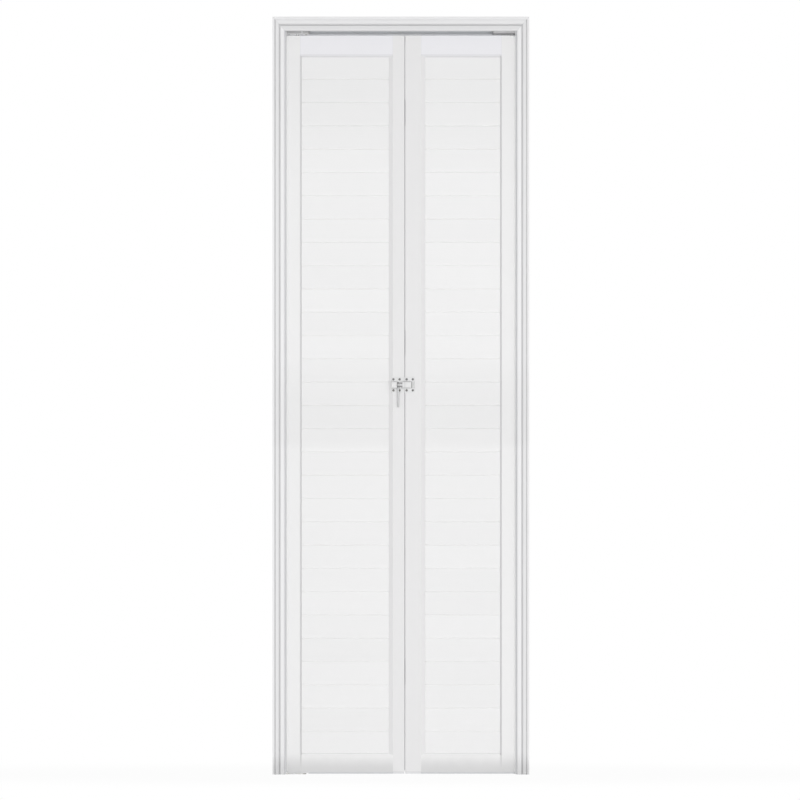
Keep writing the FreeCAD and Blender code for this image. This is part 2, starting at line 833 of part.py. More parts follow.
def make_hinge_leaf(sign, low):
    """Lift-off hinge leaf. The left stile's has the lower knuckle, the right stile's the upper one."""
    near = seam_x + sign * 1.2
    far = seam_x + sign * hinge_leaf_reach
    notch = seam_x + sign * (barrel_radius + 0.6)
    high = low + hinge_height
    middle = low + knuckle
    own = low if sign < 0 else middle
    step = middle - 0.3 if sign < 0 else middle + 0.3
    clear_end = high if sign < 0 else low
    full_end = low if sign < 0 else high
    points = [(far, full_end), (far, clear_end), (notch, clear_end)]
    points += [(notch, step), (near, step), (near, full_end)]
    plate = prism(points, in_elevation(half_leaf), Vector(0, 2.0, 0))
    leaf = plate.fuse(on_fold_axis(barrel_radius, own + 0.2, own + knuckle - 0.2))
    gap = 0.0 if sign < 0 else running_gap
    return leaf.cut(on_fold_axis(hinge_pin_radius + gap, own - 1, own + knuckle + 1)).removeSplitter()


def make_hinge_screws(sign):
    screws = []
    for low in hinge_lows:
        for tip, seat in hinge_screw_lines(sign, low):
            screws.append(screw(tip, seat, 1.75, 3.4, 1.4))
    return screws


def make_hinge_pin(low):
    return on_fold_axis(hinge_pin_radius, low - 1.0, low + hinge_height + 1.0)


write("left_hinge_leaves", [make_hinge_leaf(-1, low) for low in hinge_lows])
write("right_hinge_leaves", [make_hinge_leaf(1, low) for low in hinge_lows])
write("hinge_pins", [make_hinge_pin(low) for low in hinge_lows])


# ---------------------------------------------------------------- slide bolt
left_plate = (-26.2, 9.4)
right_plate = (12.4, 38.6)
rear_saddle = (-26.0, -11.2)
nose_saddle = (4.0, 9.4)
keeper_saddle = (12.4, 28.8)
saddle_half = 9.75


def make_plate(span):
    return box(span[0], span[1], plate_face, -half_leaf, bolt_plate_low, bolt_plate_high)


def make_saddle(span, clearance):
    """Strap over the plate, arched outside, with a square guide in it for the round bolt."""
    guide = bolt_radius + clearance
    crown = bolt_y - guide - 2.4
    points = [(plate_face + 0.5, bolt_z - saddle_half), (bolt_y + 2.0, bolt_z - saddle_half)]
    points += [(crown, bolt_z - 8.5, 1.8), (crown, bolt_z + 8.5, 1.8)]
    points += [(bolt_y + 2.0, bolt_z + saddle_half), (plate_face + 0.5, bolt_z + saddle_half)]
    floor = bolt_y + guide
    hole = [(bolt_y - guide, bolt_z - guide), (floor, bolt_z - guide)]
    hole += [(floor, bolt_z + guide), (bolt_y - guide, bolt_z + guide)]
    return level(points, span[0], span[1], [hole])


def make_bolt_plate(span, saddles, clearance):
    return fused([make_plate(span)] + [make_saddle(saddle, clearance) for saddle in saddles])


def make_plate_screws(xs):
    return [screw(tip, seat, plate_screw_radius, 3.4, 1.8) for tip, seat in plate_screw_lines(xs)]


keeper_clearance = 1.0
housing = make_bolt_plate(left_plate, (rear_saddle, nose_saddle), running_gap)
keeper = make_bolt_plate(right_plate, (keeper_saddle,), keeper_clearance)
write("bolt_housing", [housing])
write("bolt_housing_screws", make_plate_screws(left_screw_xs))
write("bolt_keeper", [keeper])
write("bolt_keeper_screws", make_plate_screws(right_screw_xs))

spigot_radius = 4.0
eye_half = 2.6
bolt_shoulder = handle_x + eye_half + 0.1
bolt_tip = 9.2
tail_end = -25.6


def along_bolt(points):
    """Revolves (x, radius) points about the bolt's axis."""
    wire = outline(points, lambda a, b: Vector(a, bolt_y, bolt_z + b))
    return Part.Face(wire).revolve(Vector(0, bolt_y, bolt_z), Vector(1, 0, 0), 360)


tail_face = handle_x - eye_half - 0.1
bolt_profile = [(tail_face, 0), (tail_face, spigot_radius), (bolt_shoulder, spigot_radius)]
bolt_profile += [(bolt_shoulder, bolt_radius), (bolt_tip, bolt_radius), (bolt_tip, 0)]
write("bolt_rod", [along_bolt(bolt_profile)])
write("bolt_tail", [rod(bolt_radius, Vector(tail_end, bolt_y, bolt_z), Vector(tail_face, bolt_y, bolt_z))])


def make_handle():
    """Drop handle: an eye on the bolt's spigot and a finger that tapers to a rounded end."""
    eye_radius = 7.4
    left = handle_x - eye_half
    right = handle_x + eye_half
    eye = rod(eye_radius, Vector(left, bolt_y, bolt_z), Vector(right, bolt_y, bolt_z))
    top = bolt_z - 4.6
    low = handle_low
    front = [(left, top), (right, top), (right - 0.5, low + 1.5), (right - 1.5, low), (left + 1.5, low)]
    front += [(left + 0.5, low + 1.5)]
    finger = prism(front, in_elevation(bolt_y - 2.4), Vector(0, 4.8, 0))
    side = [(bolt_y - 2.4, top), (bolt_y - 2.0, low + 14.0), (bolt_y - 2.4, low + 1.5), (bolt_y - 1.4, low)]
    side += [(bolt_y + 1.2, low), (bolt_y + 2.2, low + 1.5), (bolt_y + 1.0, low + 14.0), (bolt_y + 2.4, top)]
    finger = finger.common(level(side, left - 1, right + 1))
    handle = eye.fuse(finger)
    start = Vector(left - 1, bolt_y, bolt_z)
    bore = rod(spigot_radius + running_gap, start, Vector(right + 1, bolt_y, bolt_z))
    return handle.cut(bore).removeSplitter()


write("bolt_handle", [make_handle()])
write("left_hinge_screws", make_hinge_screws(-1))
write("right_hinge_screws", make_hinge_screws(1))
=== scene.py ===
import json
import math

import bmesh
import bpy
import numpy as np
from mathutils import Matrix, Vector


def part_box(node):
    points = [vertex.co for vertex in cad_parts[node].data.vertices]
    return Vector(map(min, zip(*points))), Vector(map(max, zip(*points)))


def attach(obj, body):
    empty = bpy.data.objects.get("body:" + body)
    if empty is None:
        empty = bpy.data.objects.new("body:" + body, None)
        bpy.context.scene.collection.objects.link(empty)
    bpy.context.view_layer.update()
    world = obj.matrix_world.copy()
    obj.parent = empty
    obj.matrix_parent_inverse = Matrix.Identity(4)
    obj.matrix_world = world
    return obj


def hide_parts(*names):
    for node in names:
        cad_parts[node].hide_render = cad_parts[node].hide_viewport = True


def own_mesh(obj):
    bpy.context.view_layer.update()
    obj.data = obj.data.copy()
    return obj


# The look of a framed bifold closet door. Metres, +Z up, front towards -Y.
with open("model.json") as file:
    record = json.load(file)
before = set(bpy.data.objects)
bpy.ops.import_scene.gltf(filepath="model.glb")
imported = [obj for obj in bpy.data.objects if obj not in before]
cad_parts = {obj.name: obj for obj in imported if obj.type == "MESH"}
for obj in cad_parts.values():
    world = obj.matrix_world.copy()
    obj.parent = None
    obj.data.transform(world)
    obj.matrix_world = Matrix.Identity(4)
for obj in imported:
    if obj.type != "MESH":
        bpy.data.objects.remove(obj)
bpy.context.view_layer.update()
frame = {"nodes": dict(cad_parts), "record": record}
nodes = frame["nodes"]
record = frame["record"]
bodyOf = {name: body for body, names in record["behaviour"]["bodies"].items() for name in names}
slotOf = {part["node"]: part["material_slot"] for part in record["subparts"]}
print("frame loaded with", len(nodes), "nodes")


# Shader helpers
# Adds a node, sets its properties, and sets or links its inputs
def addNode(tree, kind, props=None, values=None):
    node = tree.nodes.new("ShaderNode" + kind)
    for name, value in (props or {}).items():
        setattr(node, name, value)
    for key, value in (values or {}).items():
        if isinstance(value, bpy.types.NodeSocket):
            tree.links.new(value, node.inputs[key])
        else:
            node.inputs[key].default_value = value
    return node


def maths(tree, operation, first, second=0.0, third=0.0):
    return addNode(tree, "Math", {"operation": operation}, {0: first, 1: second, 2: third}).outputs[0]


def mixed(tree, blendType, factor, first, second):
    node = addNode(tree, "Mix", {"data_type": "RGBA", "blend_type": blendType}, {0: factor, 6: first, 7: second})
    return node.outputs[2]


# Smooth step from fromLow to toHigh as value goes from low to high
def ramp(tree, value, low, high, fromLow=0.0, toHigh=1.0):
    node = addNode(tree, "MapRange", {"interpolation_type": "SMOOTHSTEP"},
                   {0: value, 1: low, 2: high, 3: fromLow, 4: toHigh})
    return node.outputs[0]


# Object coordinates, stretched along each axis by scale
def objectPoint(tree, scale=(1.0, 1.0, 1.0)):
    here = addNode(tree, "TexCoord").outputs["Object"]
    return addNode(tree, "Mapping", None, {"Vector": here, "Scale": scale}).outputs[0]


def placeXYZ(tree):
    return addNode(tree, "SeparateXYZ", None, {0: addNode(tree, "TexCoord").outputs["Object"]}).outputs


def noise(tree, point, scale, detail=2.0, roughness=0.5):
    values = {"Vector": point, "Scale": scale, "Detail": detail, "Roughness": roughness}
    return addNode(tree, "TexNoise", None, values).outputs[0]


# How far a noise of 0 to 1 lies from its middle
def centred(tree, value):
    return maths(tree, "SUBTRACT", value, 0.5)


def scaled(tree, colour, level):
    return addNode(tree, "VectorMath", {"operation": "SCALE"}, {0: colour, "Scale": level}).outputs[0]


# Empty shader group with a Color, Roughness and Height output. Sockets are (name, kind, default).
def makeGroup(name, sockets):
    tree = bpy.data.node_groups.new(name, "ShaderNodeTree")
    for label, kind, default in sockets:
        socket = tree.interface.new_socket(label, in_out="INPUT", socket_type="NodeSocket" + kind)
        socket.default_value = default
    for label, kind in (("Color", "Color"), ("Roughness", "Float"), ("Height", "Float")):
        tree.interface.new_socket(label, in_out="OUTPUT", socket_type="NodeSocket" + kind)
    return tree, tree.nodes.new("NodeGroupInput").outputs, tree.nodes.new("NodeGroupOutput").inputs


def finishGroup(tree, outputs, colour, roughness, height):
    for name, value in (("Color", colour), ("Roughness", roughness), ("Height", height)):
        tree.links.new(value, outputs[name])
    return tree


# Satin powder coat: a slow drift in tone, painted light that lifts the foot, painted shade that darkens the crown, a
# darker band at latch height, fine orange peel, and painted shade as a grey, rougher film just over the floor
coat = {"driftScale": 1.6, "driftStretch": 0.35, "peelScale": 620.0, "peelSpread": 0.10,
        "footLightRange": (0.95, 0.05), "crownShadeRange": (1.60, 1.95), "midBandRise": (0.893, 0.930), "midBandFall": (1.19, 1.03),
        "floorShadeTop": 0.064, "floorShadeFull": 0.012, "floorShadePatch": 38.0, "floorShadeWander": 0.012, "floorShadeRoughness": 0.25,
        "floorShadeColor": (0.515, 0.515, 0.52, 1.0)}


def makeCoatGroup():
    tree, given, out = makeGroup("satinCoat", [
        ("Color", "Color", (0.86, 0.86, 0.86, 1.0)), ("Drift", "Float", 0.02),
        ("FloorShade", "Float", 0.0), ("Roughness", "Float", 0.36), ("FootLight", "Float", 0.0), ("CrownShade", "Float", 0.0),
        ("MidBand", "Float", 0.0)])
    height = placeXYZ(tree)[2]
    drift = noise(tree, objectPoint(tree, (1.0, 1.0, coat["driftStretch"])), coat["driftScale"], detail=3.0)
    level = maths(tree, "MULTIPLY_ADD", centred(tree, drift), given["Drift"], 1.0)
    midBand = maths(tree, "MULTIPLY", ramp(tree, height, *coat["midBandRise"]), ramp(tree, height, *coat["midBandFall"]))
    # Painted light lifts the foot and painted shade darkens the crown; a darker band lies at latch height
    for mask, name in ((ramp(tree, height, *coat["footLightRange"]), "FootLight"),
                       (ramp(tree, height, *coat["crownShadeRange"]), "CrownShade"), (midBand, "MidBand")):
        level = maths(tree, "MULTIPLY_ADD", mask, given[name], level)
    toned = scaled(tree, given["Color"], level)
    # Painted shade just over the floor: a grey film, also made rougher, whose top wanders with a noise
    patches = noise(tree, objectPoint(tree), coat["floorShadePatch"], detail=4.0)
    uneven = maths(tree, "MULTIPLY_ADD", centred(tree, patches), coat["floorShadeWander"], height)
    floorShadeMask = maths(tree, "MULTIPLY", ramp(tree, uneven, coat["floorShadeTop"], coat["floorShadeFull"]), given["FloorShade"])
    floorShaded = mixed(tree, "MIX", floorShadeMask, toned, coat["floorShadeColor"])
    peel = noise(tree, objectPoint(tree), coat["peelScale"])
    rough = maths(tree, "MULTIPLY_ADD", centred(tree, peel), coat["peelSpread"], given["Roughness"])
    rough = maths(tree, "MULTIPLY_ADD", floorShadeMask, coat["floorShadeRoughness"], rough)
    return finishGroup(tree, out, floorShaded, rough, peel)


# Drawn or turned metal: fine streaks along one axis
def makeStreakGroup():
    tree, given, out = makeGroup("drawnMetal", [
        ("Color", "Color", (0.6, 0.6, 0.6, 1.0)), ("Scale", "Vector", (40.0, 900.0, 900.0)),
        ("Strength", "Float", 0.12), ("Roughness", "Float", 0.3)])
    here = addNode(tree, "TexCoord").outputs["Object"]
    point = addNode(tree, "VectorMath", {"operation": "MULTIPLY"}, {0: here, 1: given["Scale"]}).outputs[0]
    streaks = noise(tree, point, 1.0, detail=4.0, roughness=0.6)
    away = centred(tree, streaks)
    toned = scaled(tree, given["Color"], maths(tree, "MULTIPLY_ADD", away, given["Strength"], 1.0))
    rough = maths(tree, "MULTIPLY_ADD", away, given["Strength"], given["Roughness"])
    return finishGroup(tree, out, toned, rough, streaks)


# Bright zinc plate: soft crystal patches with a faint warm and cool tint
zinc = {"cellSpread": 0.16, "cellLow": 0.92, "cloudScale": 55.0, "tintRange": (0.35, 0.65),
        "tint": (1.0, 0.965, 0.88, 1.0), "roughSpread": 0.14}


def makeZincGroup():
    tree, given, out = makeGroup("zincPlate", [
        ("Color", "Color", (0.6, 0.6, 0.6, 1.0)), ("Grain", "Float", 160.0), ("Roughness", "Float", 0.34)])
    cells = addNode(tree, "TexVoronoi", None, {"Vector": objectPoint(tree), "Scale": given["Grain"]})
    shade = addNode(tree, "SeparateColor", None, {0: cells.outputs["Color"]})
    level = maths(tree, "MULTIPLY_ADD", shade.outputs[0], zinc["cellSpread"], zinc["cellLow"])
    clouds = noise(tree, objectPoint(tree), zinc["cloudScale"], detail=3.0)
    tinted = mixed(tree, "MULTIPLY", ramp(tree, clouds, *zinc["tintRange"]), scaled(tree, given["Color"], level),
                   zinc["tint"])
    rough = maths(tree, "MULTIPLY_ADD", shade.outputs[1], zinc["roughSpread"], given["Roughness"])
    return finishGroup(tree, out, tinted, rough, clouds)


# Moulded plastic or rubber: mottled skin with a fine spark texture
moulded = {"cloudScale": 70.0, "roughSpread": 0.16}


def makeMouldedGroup():
    tree, given, out = makeGroup("mouldedSkin", [
        ("Color", "Color", (0.8, 0.8, 0.8, 1.0)), ("Mottle", "Float", 0.05),
        ("Grain", "Float", 900.0), ("Roughness", "Float", 0.5)])
    clouds = noise(tree, objectPoint(tree), moulded["cloudScale"], detail=3.0)
    toned = scaled(tree, given["Color"], maths(tree, "MULTIPLY_ADD", centred(tree, clouds), given["Mottle"], 1.0))
    spark = noise(tree, objectPoint(tree), given["Grain"])
    rough = maths(tree, "MULTIPLY_ADD", centred(tree, spark), moulded["roughSpread"], given["Roughness"])
    return finishGroup(tree, out, toned, rough, spark)


groups = {
    "satinCoat": makeCoatGroup(), "drawnMetal": makeStreakGroup(),
    "zincPlate": makeZincGroup(), "mouldedSkin": makeMouldedGroup(),
}


def startMaterial(name, metallic=0.0, specular=0.5):
    material = bpy.data.materials.new(name)
    material.use_nodes = True
    tree = material.node_tree
    shader = tree.nodes["Principled BSDF"]
    shader.inputs["Metallic"].default_value = metallic
    shader.inputs["Specular IOR Level"].default_value = specular
    return material, tree, shader


def addSkin(tree, group, values):
    return addNode(tree, "Group", {"node_tree": groups[group]}, values).outputs


# The relief of most surfaces, in metres
bumpDepth = 0.00002


# Feeds the shader from a group, with another colour or height where one is given, and a bump of depth metres
def wire(tree, shader, skin, colour=None, height=None, depth=bumpDepth):
    colour = skin["Color"] if colour is None else colour
    height = skin["Height"] if height is None else height
    tree.links.new(colour, shader.inputs["Base Color"])
    tree.links.new(skin["Roughness"], shader.inputs["Roughness"])
    bump = addNode(tree, "Bump", None, {"Strength": 1.0, "Distance": depth, "Height": height})
    tree.links.new(bump.outputs[0], shader.inputs["Normal"])


def groupMaterial(name, group, values, metallic=0.0, depth=bumpDepth):
    material, tree, shader = startMaterial(name, metallic)
    wire(tree, shader, addSkin(tree, group, values), depth=depth)
    return material


# 1 between low and high with soft ends, 0 elsewhere
def band(tree, value, low, high, soft):
    rise = ramp(tree, value, low - soft, low + soft)
    fall = ramp(tree, value, high + soft, high - soft)
    return maths(tree, "MULTIPLY", rise, fall)


# Multiplies a colour by tone where mask is 1
def shaded(tree, colour, mask, tone):
    return mixed(tree, "MULTIPLY", mask, colour, (tone, tone, tone, 1.0))


# The casing is measured inwards from its outer edge, so that grooves, painted shade and bead turn the mitred
# corners.
# Painted shade darkens both grooves, the sloped band, its brink and the bead, and the whole head a little more; a
# hairline runs along each mitre.
casing = {"coat": {"Color": (0.797, 0.796, 0.804, 1.0), "Drift": 0.03, "FloorShade": 0.45, "FootLight": 0.03, "CrownShade": -0.02,
                   "MidBand": -0.05},
          "halfWidth": 0.3555, "height": 2.1, "jambFace": 0.0338, "headFace": 0.039, "front": -0.0425,
          "hairline": 0.0006, "hairTone": 0.62, "hairColor": (0.34, 0.35, 0.37, 1.0),
          "thinGroove": (0.0052, 0.0076), "thinGrooveShade": 0.55, "headThinGrooveShade": 0.96, "thinSoft": 0.0004,
          "middle": ((0.0086, 0.0150), 0.93), "brink": ((0.0148, 0.0174), 0.90),
          "deepGroove": ((0.0171, 0.0217), 0.80), "bead": ((0.0305, 0.0345), 0.90), "soft": 0.0006,
          "headSlope": (0.0215, 0.0300), "headSlopeShade": 0.88, "headShade": 0.98}


def makeCasingMaterial():
    material, tree, shader = startMaterial("whiteCoat")
    skin = addSkin(tree, "satinCoat", casing["coat"])
    x, y, z = placeXYZ(tree)
    inward = maths(tree, "SUBTRACT", casing["halfWidth"], maths(tree, "ABSOLUTE", x))
    down = maths(tree, "SUBTRACT", casing["height"], z)
    slope = casing["headFace"] / casing["jambFace"]
    level = maths(tree, "DIVIDE", down, slope)
    across = maths(tree, "MINIMUM", inward, level)
    front = maths(tree, "LESS_THAN", y, casing["front"])
    onHead = maths(tree, "MULTIPLY", maths(tree, "GREATER_THAN", inward, level), front)
    onJamb = maths(tree, "SUBTRACT", front, onHead)
    colour = skin["Color"]
    # Painted shade in the grooves, on the sloped band, its brink and the bead, and over the head
    thin = band(tree, across, *casing["thinGroove"], casing["thinSoft"])
    colour = shaded(tree, colour, maths(tree, "MULTIPLY", thin, onJamb), casing["thinGrooveShade"])
    colour = shaded(tree, colour, maths(tree, "MULTIPLY", thin, onHead), casing["headThinGrooveShade"])
    for name in ("middle", "brink", "deepGroove", "bead"):
        place, tone = casing[name]
        mask = maths(tree, "MULTIPLY", band(tree, across, *place, casing["soft"]), front)
        colour = shaded(tree, colour, mask, tone)
    mask = maths(tree, "MULTIPLY", band(tree, across, *casing["headSlope"], casing["soft"]), onHead)
    colour = shaded(tree, colour, mask, casing["headSlopeShade"])
    colour = shaded(tree, colour, onHead, casing["headShade"])
    away = maths(tree, "ABSOLUTE", maths(tree, "SUBTRACT", maths(tree, "MULTIPLY", inward, slope), down))
    line = maths(tree, "MULTIPLY", ramp(tree, away, casing["hairline"], 0.0), casing["hairTone"])
    wire(tree, shader, skin, mixed(tree, "MIX", line, colour, casing["hairColor"]))
    return material


# Vinyl planks: each board has its own faint tone, with a drawn grain along it. Along the grooves the colour is
# painted lighter, as painted light lifting their shade.
plank = {"coat": {"FloorShade": 0.6, "Drift": 0.02, "Roughness": 0.44, "FootLight": 0.018, "CrownShade": -0.052, "MidBand": -0.045},
         "color": (0.858, 0.857, 0.858), "first": 0.0543, "pitch": 0.0646, "toneStep": 0.022, "seamX": 0.03,
         "rightShift": 57.0, "grain": 0.02, "grainScale": (9.0, 3.0, 420.0), "grainDepth": 0.00006,
         "groove": 0.00256, "grooveLight": 1.11}


def makePlankMaterial():
    material, tree, shader = startMaterial("plankWhite", specular=0.4)
    x, y, z = placeXYZ(tree)
    count = maths(tree, "DIVIDE", maths(tree, "SUBTRACT", z, plank["first"]), plank["pitch"])
    onRight = maths(tree, "GREATER_THAN", x, plank["seamX"])
    board = maths(tree, "ADD", maths(tree, "FLOOR", count), maths(tree, "MULTIPLY", onRight, plank["rightShift"]))
    pick = addNode(tree, "TexWhiteNoise", {"noise_dimensions": "1D"}, {"W": board}).outputs["Value"]
    tone = maths(tree, "MULTIPLY_ADD", centred(tree, pick), plank["toneStep"], 1.0)
    spot = addNode(tree, "CombineXYZ", None, {0: x, 1: board, 2: z}).outputs[0]
    spot = addNode(tree, "Mapping", None, {"Vector": spot, "Scale": plank["grainScale"]}).outputs[0]
    grain = noise(tree, spot, 1.0, detail=5.0, roughness=0.6)
    level = maths(tree, "MULTIPLY_ADD", centred(tree, grain), plank["grain"], tone)
    # Painted light along the grooves, lifting their shade
    edge = maths(tree, "ABSOLUTE", maths(tree, "SUBTRACT", count, maths(tree, "ROUND", count)))
    paintedLight = ramp(tree, edge, plank["groove"] / plank["pitch"], 0.0, 1.0, plank["grooveLight"])
    base = scaled(tree, plank["color"], maths(tree, "MULTIPLY", level, paintedLight))
    skin = addSkin(tree, "satinCoat", {"Color": base, **plank["coat"]})
    wire(tree, shader, skin, height=grain, depth=plank["grainDepth"])
    return material


# Outer stiles: the coat, painted lighter along the rounded edge that passes the jamb seal, as painted light lifting
# its shade
outerStile = {"coat": {"Color": (0.786, 0.785, 0.785, 1.0), "Drift": 0.03, "FloorShade": 0.50, "FootLight": 0.052,
                       "CrownShade": -0.028, "MidBand": -0.045},
              "edge": (0.3142, 0.3200), "edgeLight": 1.2, "soft": 0.0006}


def makeOuterStileMaterial():
    material, tree, shader = startMaterial("leafCoat")
    skin = addSkin(tree, "satinCoat", outerStile["coat"])
    across = maths(tree, "ABSOLUTE", placeXYZ(tree)[0])
    # Painted light along the rounded outer edge
    edge = band(tree, across, *outerStile["edge"], outerStile["soft"])
    wire(tree, shader, skin, shaded(tree, skin["Color"], edge, outerStile["edgeLight"]))
    return material


# Fold stiles: the coat, with painted shade along the right stile's edge beside the seam. The sloped beads are
# painted lighter, as painted light.
foldStile = {"coat": {"Color": (0.732, 0.728, 0.732, 1.0), "Drift": 0.03, "FootLight": 0.05},
             "seam": ((0.0110, 0.0134), 0.90), "leftBeadLight": ((-0.0338, -0.0222), 1.12),
             "rightBeadLight": ((0.0556, 0.0668), 1.17), "front": -0.004, "soft": 0.0004}


def makeFoldMaterial():
    material, tree, shader = startMaterial("foldStileCoat")
    skin = addSkin(tree, "satinCoat", foldStile["coat"])
    x, y, z = placeXYZ(tree)
    front = maths(tree, "LESS_THAN", y, foldStile["front"])
    colour = skin["Color"]
    # Painted shade by the seam, painted light on both sloped beads
    for place, tone in (foldStile["seam"], foldStile["leftBeadLight"], foldStile["rightBeadLight"]):
        mask = maths(tree, "MULTIPLY", band(tree, x, *place, foldStile["soft"]), front)
        colour = shaded(tree, colour, mask, tone)
    wire(tree, shader, skin, colour)
    return material


# Bolt plates: white coat, with a flecked grey patch of painted shade past the keeper's strap, and a line of painted
# shadow at the strap's end
boltPlate = {"coat": {"Color": (0.695, 0.695, 0.698, 1.0), "Roughness": 0.34}, "front": -0.0145,
             "shadeX": (0.0302, 0.0398), "shadeZ": (1.0708, 1.0895), "shadeTone": 0.80, "shadeSoft": 0.0008,
             "lineX": (0.0288, 0.0303), "lineTone": 0.42, "lineSoft": 0.0003,
             "fleckStretch": 0.45, "fleckScale": 230.0, "fleckRange": (0.22, 0.66)}


def makeBoltPlateMaterial():
    material, tree, shader = startMaterial("boltCoat")
    skin = addSkin(tree, "satinCoat", boltPlate["coat"])
    x, y, z = placeXYZ(tree)
    front = maths(tree, "LESS_THAN", y, boltPlate["front"])
    # Painted shade past the keeper's strap, and a painted shadow line at its end
    high = maths(tree, "MULTIPLY", band(tree, z, *boltPlate["shadeZ"], boltPlate["shadeSoft"]), front)
    flecks = noise(tree, objectPoint(tree, (1.0, 1.0, boltPlate["fleckStretch"])), boltPlate["fleckScale"],
                   detail=6.0, roughness=0.62)
    patchShade = maths(tree, "MULTIPLY", band(tree, x, *boltPlate["shadeX"], boltPlate["shadeSoft"]), high)
    patchShade = maths(tree, "MULTIPLY", patchShade, ramp(tree, flecks, *boltPlate["fleckRange"]))
    colour = shaded(tree, skin["Color"], patchShade, boltPlate["shadeTone"])
    line = maths(tree, "MULTIPLY", band(tree, x, *boltPlate["lineX"], boltPlate["lineSoft"]), high)
    wire(tree, shader, skin, shaded(tree, colour, line, boltPlate["lineTone"]))
    return material


# Panel gasket: pale, and painted paler still along the rails, as painted light
gasket = {"color": (0.668, 0.663, 0.673, 1.0), "lowColor": (0.87, 0.87, 0.873, 1.0), "lowRange": (0.064, 0.060),
          "highColor": (0.74, 0.735, 0.75, 1.0), "highRange": (1.986, 1.988), "railEnd": 0.2751}


def makeGasketMaterial():
    material, tree, shader = startMaterial("greyGasket")
    x, y, z = placeXYZ(tree)
    along = maths(tree, "LESS_THAN", maths(tree, "ABSOLUTE", x), gasket["railEnd"])
    base = gasket["color"]
    for edge in ("low", "high"):
        mask = maths(tree, "MULTIPLY", ramp(tree, z, *gasket[edge + "Range"]), along)
        base = mixed(tree, "MIX", mask, base, gasket[edge + "Color"])
    wire(tree, shader, addSkin(tree, "mouldedSkin", {"Color": base, "Roughness": 0.6}))
    return material


# Rails: the coat, painted darker on the top rail and lighter on the bottom rail as painted shade and painted light,
# with joint lines where the ends meet the stiles, and painted shade along the top rail's lower edge. On the bottom
# rail only the outer joints show, as painted shade that deepens upwards.
rail = {"topColor": (0.767, 0.765, 0.792, 1.0), "bottomColor": (0.850, 0.848, 0.848, 1.0), "drift": 0.03,
        "floorShade": 0.52, "joint": 0.0024, "soft": 0.0005, "topTone": 0.955, "lip": (1.9900, 1.9966),
        "lipShade": 0.90, "lipSoft": 0.0006, "cornerShade": ((0.0054, 0.86), (0.00276, 0.89)), "cornerShadeFade": (0.010, 0.056)}


def makeRailMaterial(level):
    material, tree, shader = startMaterial(level + "RailCoat")
    skin = addSkin(tree, "satinCoat", {"Color": rail[level + "Color"], "Drift": rail["drift"], "FloorShade": rail["floorShade"]})
    x, y, z = placeXYZ(tree)
    colour = skin["Color"]
    joint, soft = rail["joint"], rail["soft"]
    ends = [corner.x for side in ("left", "right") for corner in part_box(side + "_" + level + "_rail")]
    if level == "top":
        for end in ends:
            colour = shaded(tree, colour, band(tree, x, end - joint, end + joint, soft), rail["topTone"])
        colour = shaded(tree, colour, band(tree, z, *rail["lip"], rail["lipSoft"]), rail["lipShade"])
    else:
        # Painted shade in the bottom rail's outer corners, deepening upwards
        inward = maths(tree, "SUBTRACT", ends[-1], maths(tree, "ABSOLUTE", x))
        fade = ramp(tree, z, *rail["cornerShadeFade"])
        for width, tone in rail["cornerShade"]:
            mask = maths(tree, "MULTIPLY", ramp(tree, inward, width + soft, width - soft), fade)
            colour = shaded(tree, colour, mask, tone)
    wire(tree, shader, skin, colour)
    return material


# Fascia: aluminium painted dark towards the track as painted shade in the gap, painted lighter lower down as painted
# light, and white coat behind
fascia = {"color": (0.44, 0.45, 0.465, 1.0), "litLow": (0.95, 0.96, 0.98, 1.0), "turn": (2.0558, 2.0512),
          "back": (0.0434, 0.0438), "backColor": (0.78, 0.785, 0.80, 1.0), "metallic": 0.7,
          "metal": {"Scale": (12.0, 1400.0, 1400.0), "Roughness": 0.6}}


def makeFasciaMaterial():
    material, tree, shader = startMaterial("fasciaAluminium")
    x, y, z = placeXYZ(tree)
    base = mixed(tree, "MIX", ramp(tree, z, *fascia["turn"]), fascia["color"], fascia["litLow"])
    behind = ramp(tree, y, *fascia["back"])
    base = mixed(tree, "MIX", behind, base, fascia["backColor"])
    metallic = maths(tree, "MULTIPLY", maths(tree, "SUBTRACT", 1.0, behind), fascia["metallic"])
    tree.links.new(metallic, shader.inputs["Metallic"])
    wire(tree, shader, addSkin(tree, "drawnMetal", {"Color": base, **fascia["metal"]}))
    return material


# Jamb seals: grey where they root in the casing, pale along the lip that wipes the leaf, as painted light lifting
# the gap's shade
jambSeal = {"root": (0.62, 0.63, 0.65, 1.0), "lip": (0.93, 0.935, 0.94, 1.0), "edge": (0.3202, 0.3192)}


def makeJambSealMaterial():
    material, tree, shader = startMaterial("jambSeal")
    lip = ramp(tree, maths(tree, "ABSOLUTE", placeXYZ(tree)[0]), *jambSeal["edge"])
    base = mixed(tree, "MIX", lip, jambSeal["root"], jambSeal["lip"])
    wire(tree, shader, addSkin(tree, "mouldedSkin", {"Color": base, "Roughness": 0.6}))
    return material


# Grey moulded blocks in the track's ends: the tone turns at a level, as painted shade and painted light in the gap
# under the head, and a paler spot shows over the pivot
block = {"pivot": ((0.40, 0.40, 0.404, 1.0), (0.86, 0.863, 0.868, 1.0)), "pivotTurn": (2.0543, 2.0521),
         "stop": ((0.57, 0.57, 0.576, 1.0), (0.19, 0.19, 0.194, 1.0)), "stopTurn": (2.0594, 2.0520),
         "spot": (-0.2755, -0.2730), "spotColor": (0.62, 0.62, 0.635, 1.0), "spotSoft": 0.0005,
         "skin": {"Mottle": 0.3, "Roughness": 0.5}, "sparkDepth": 0.00003}


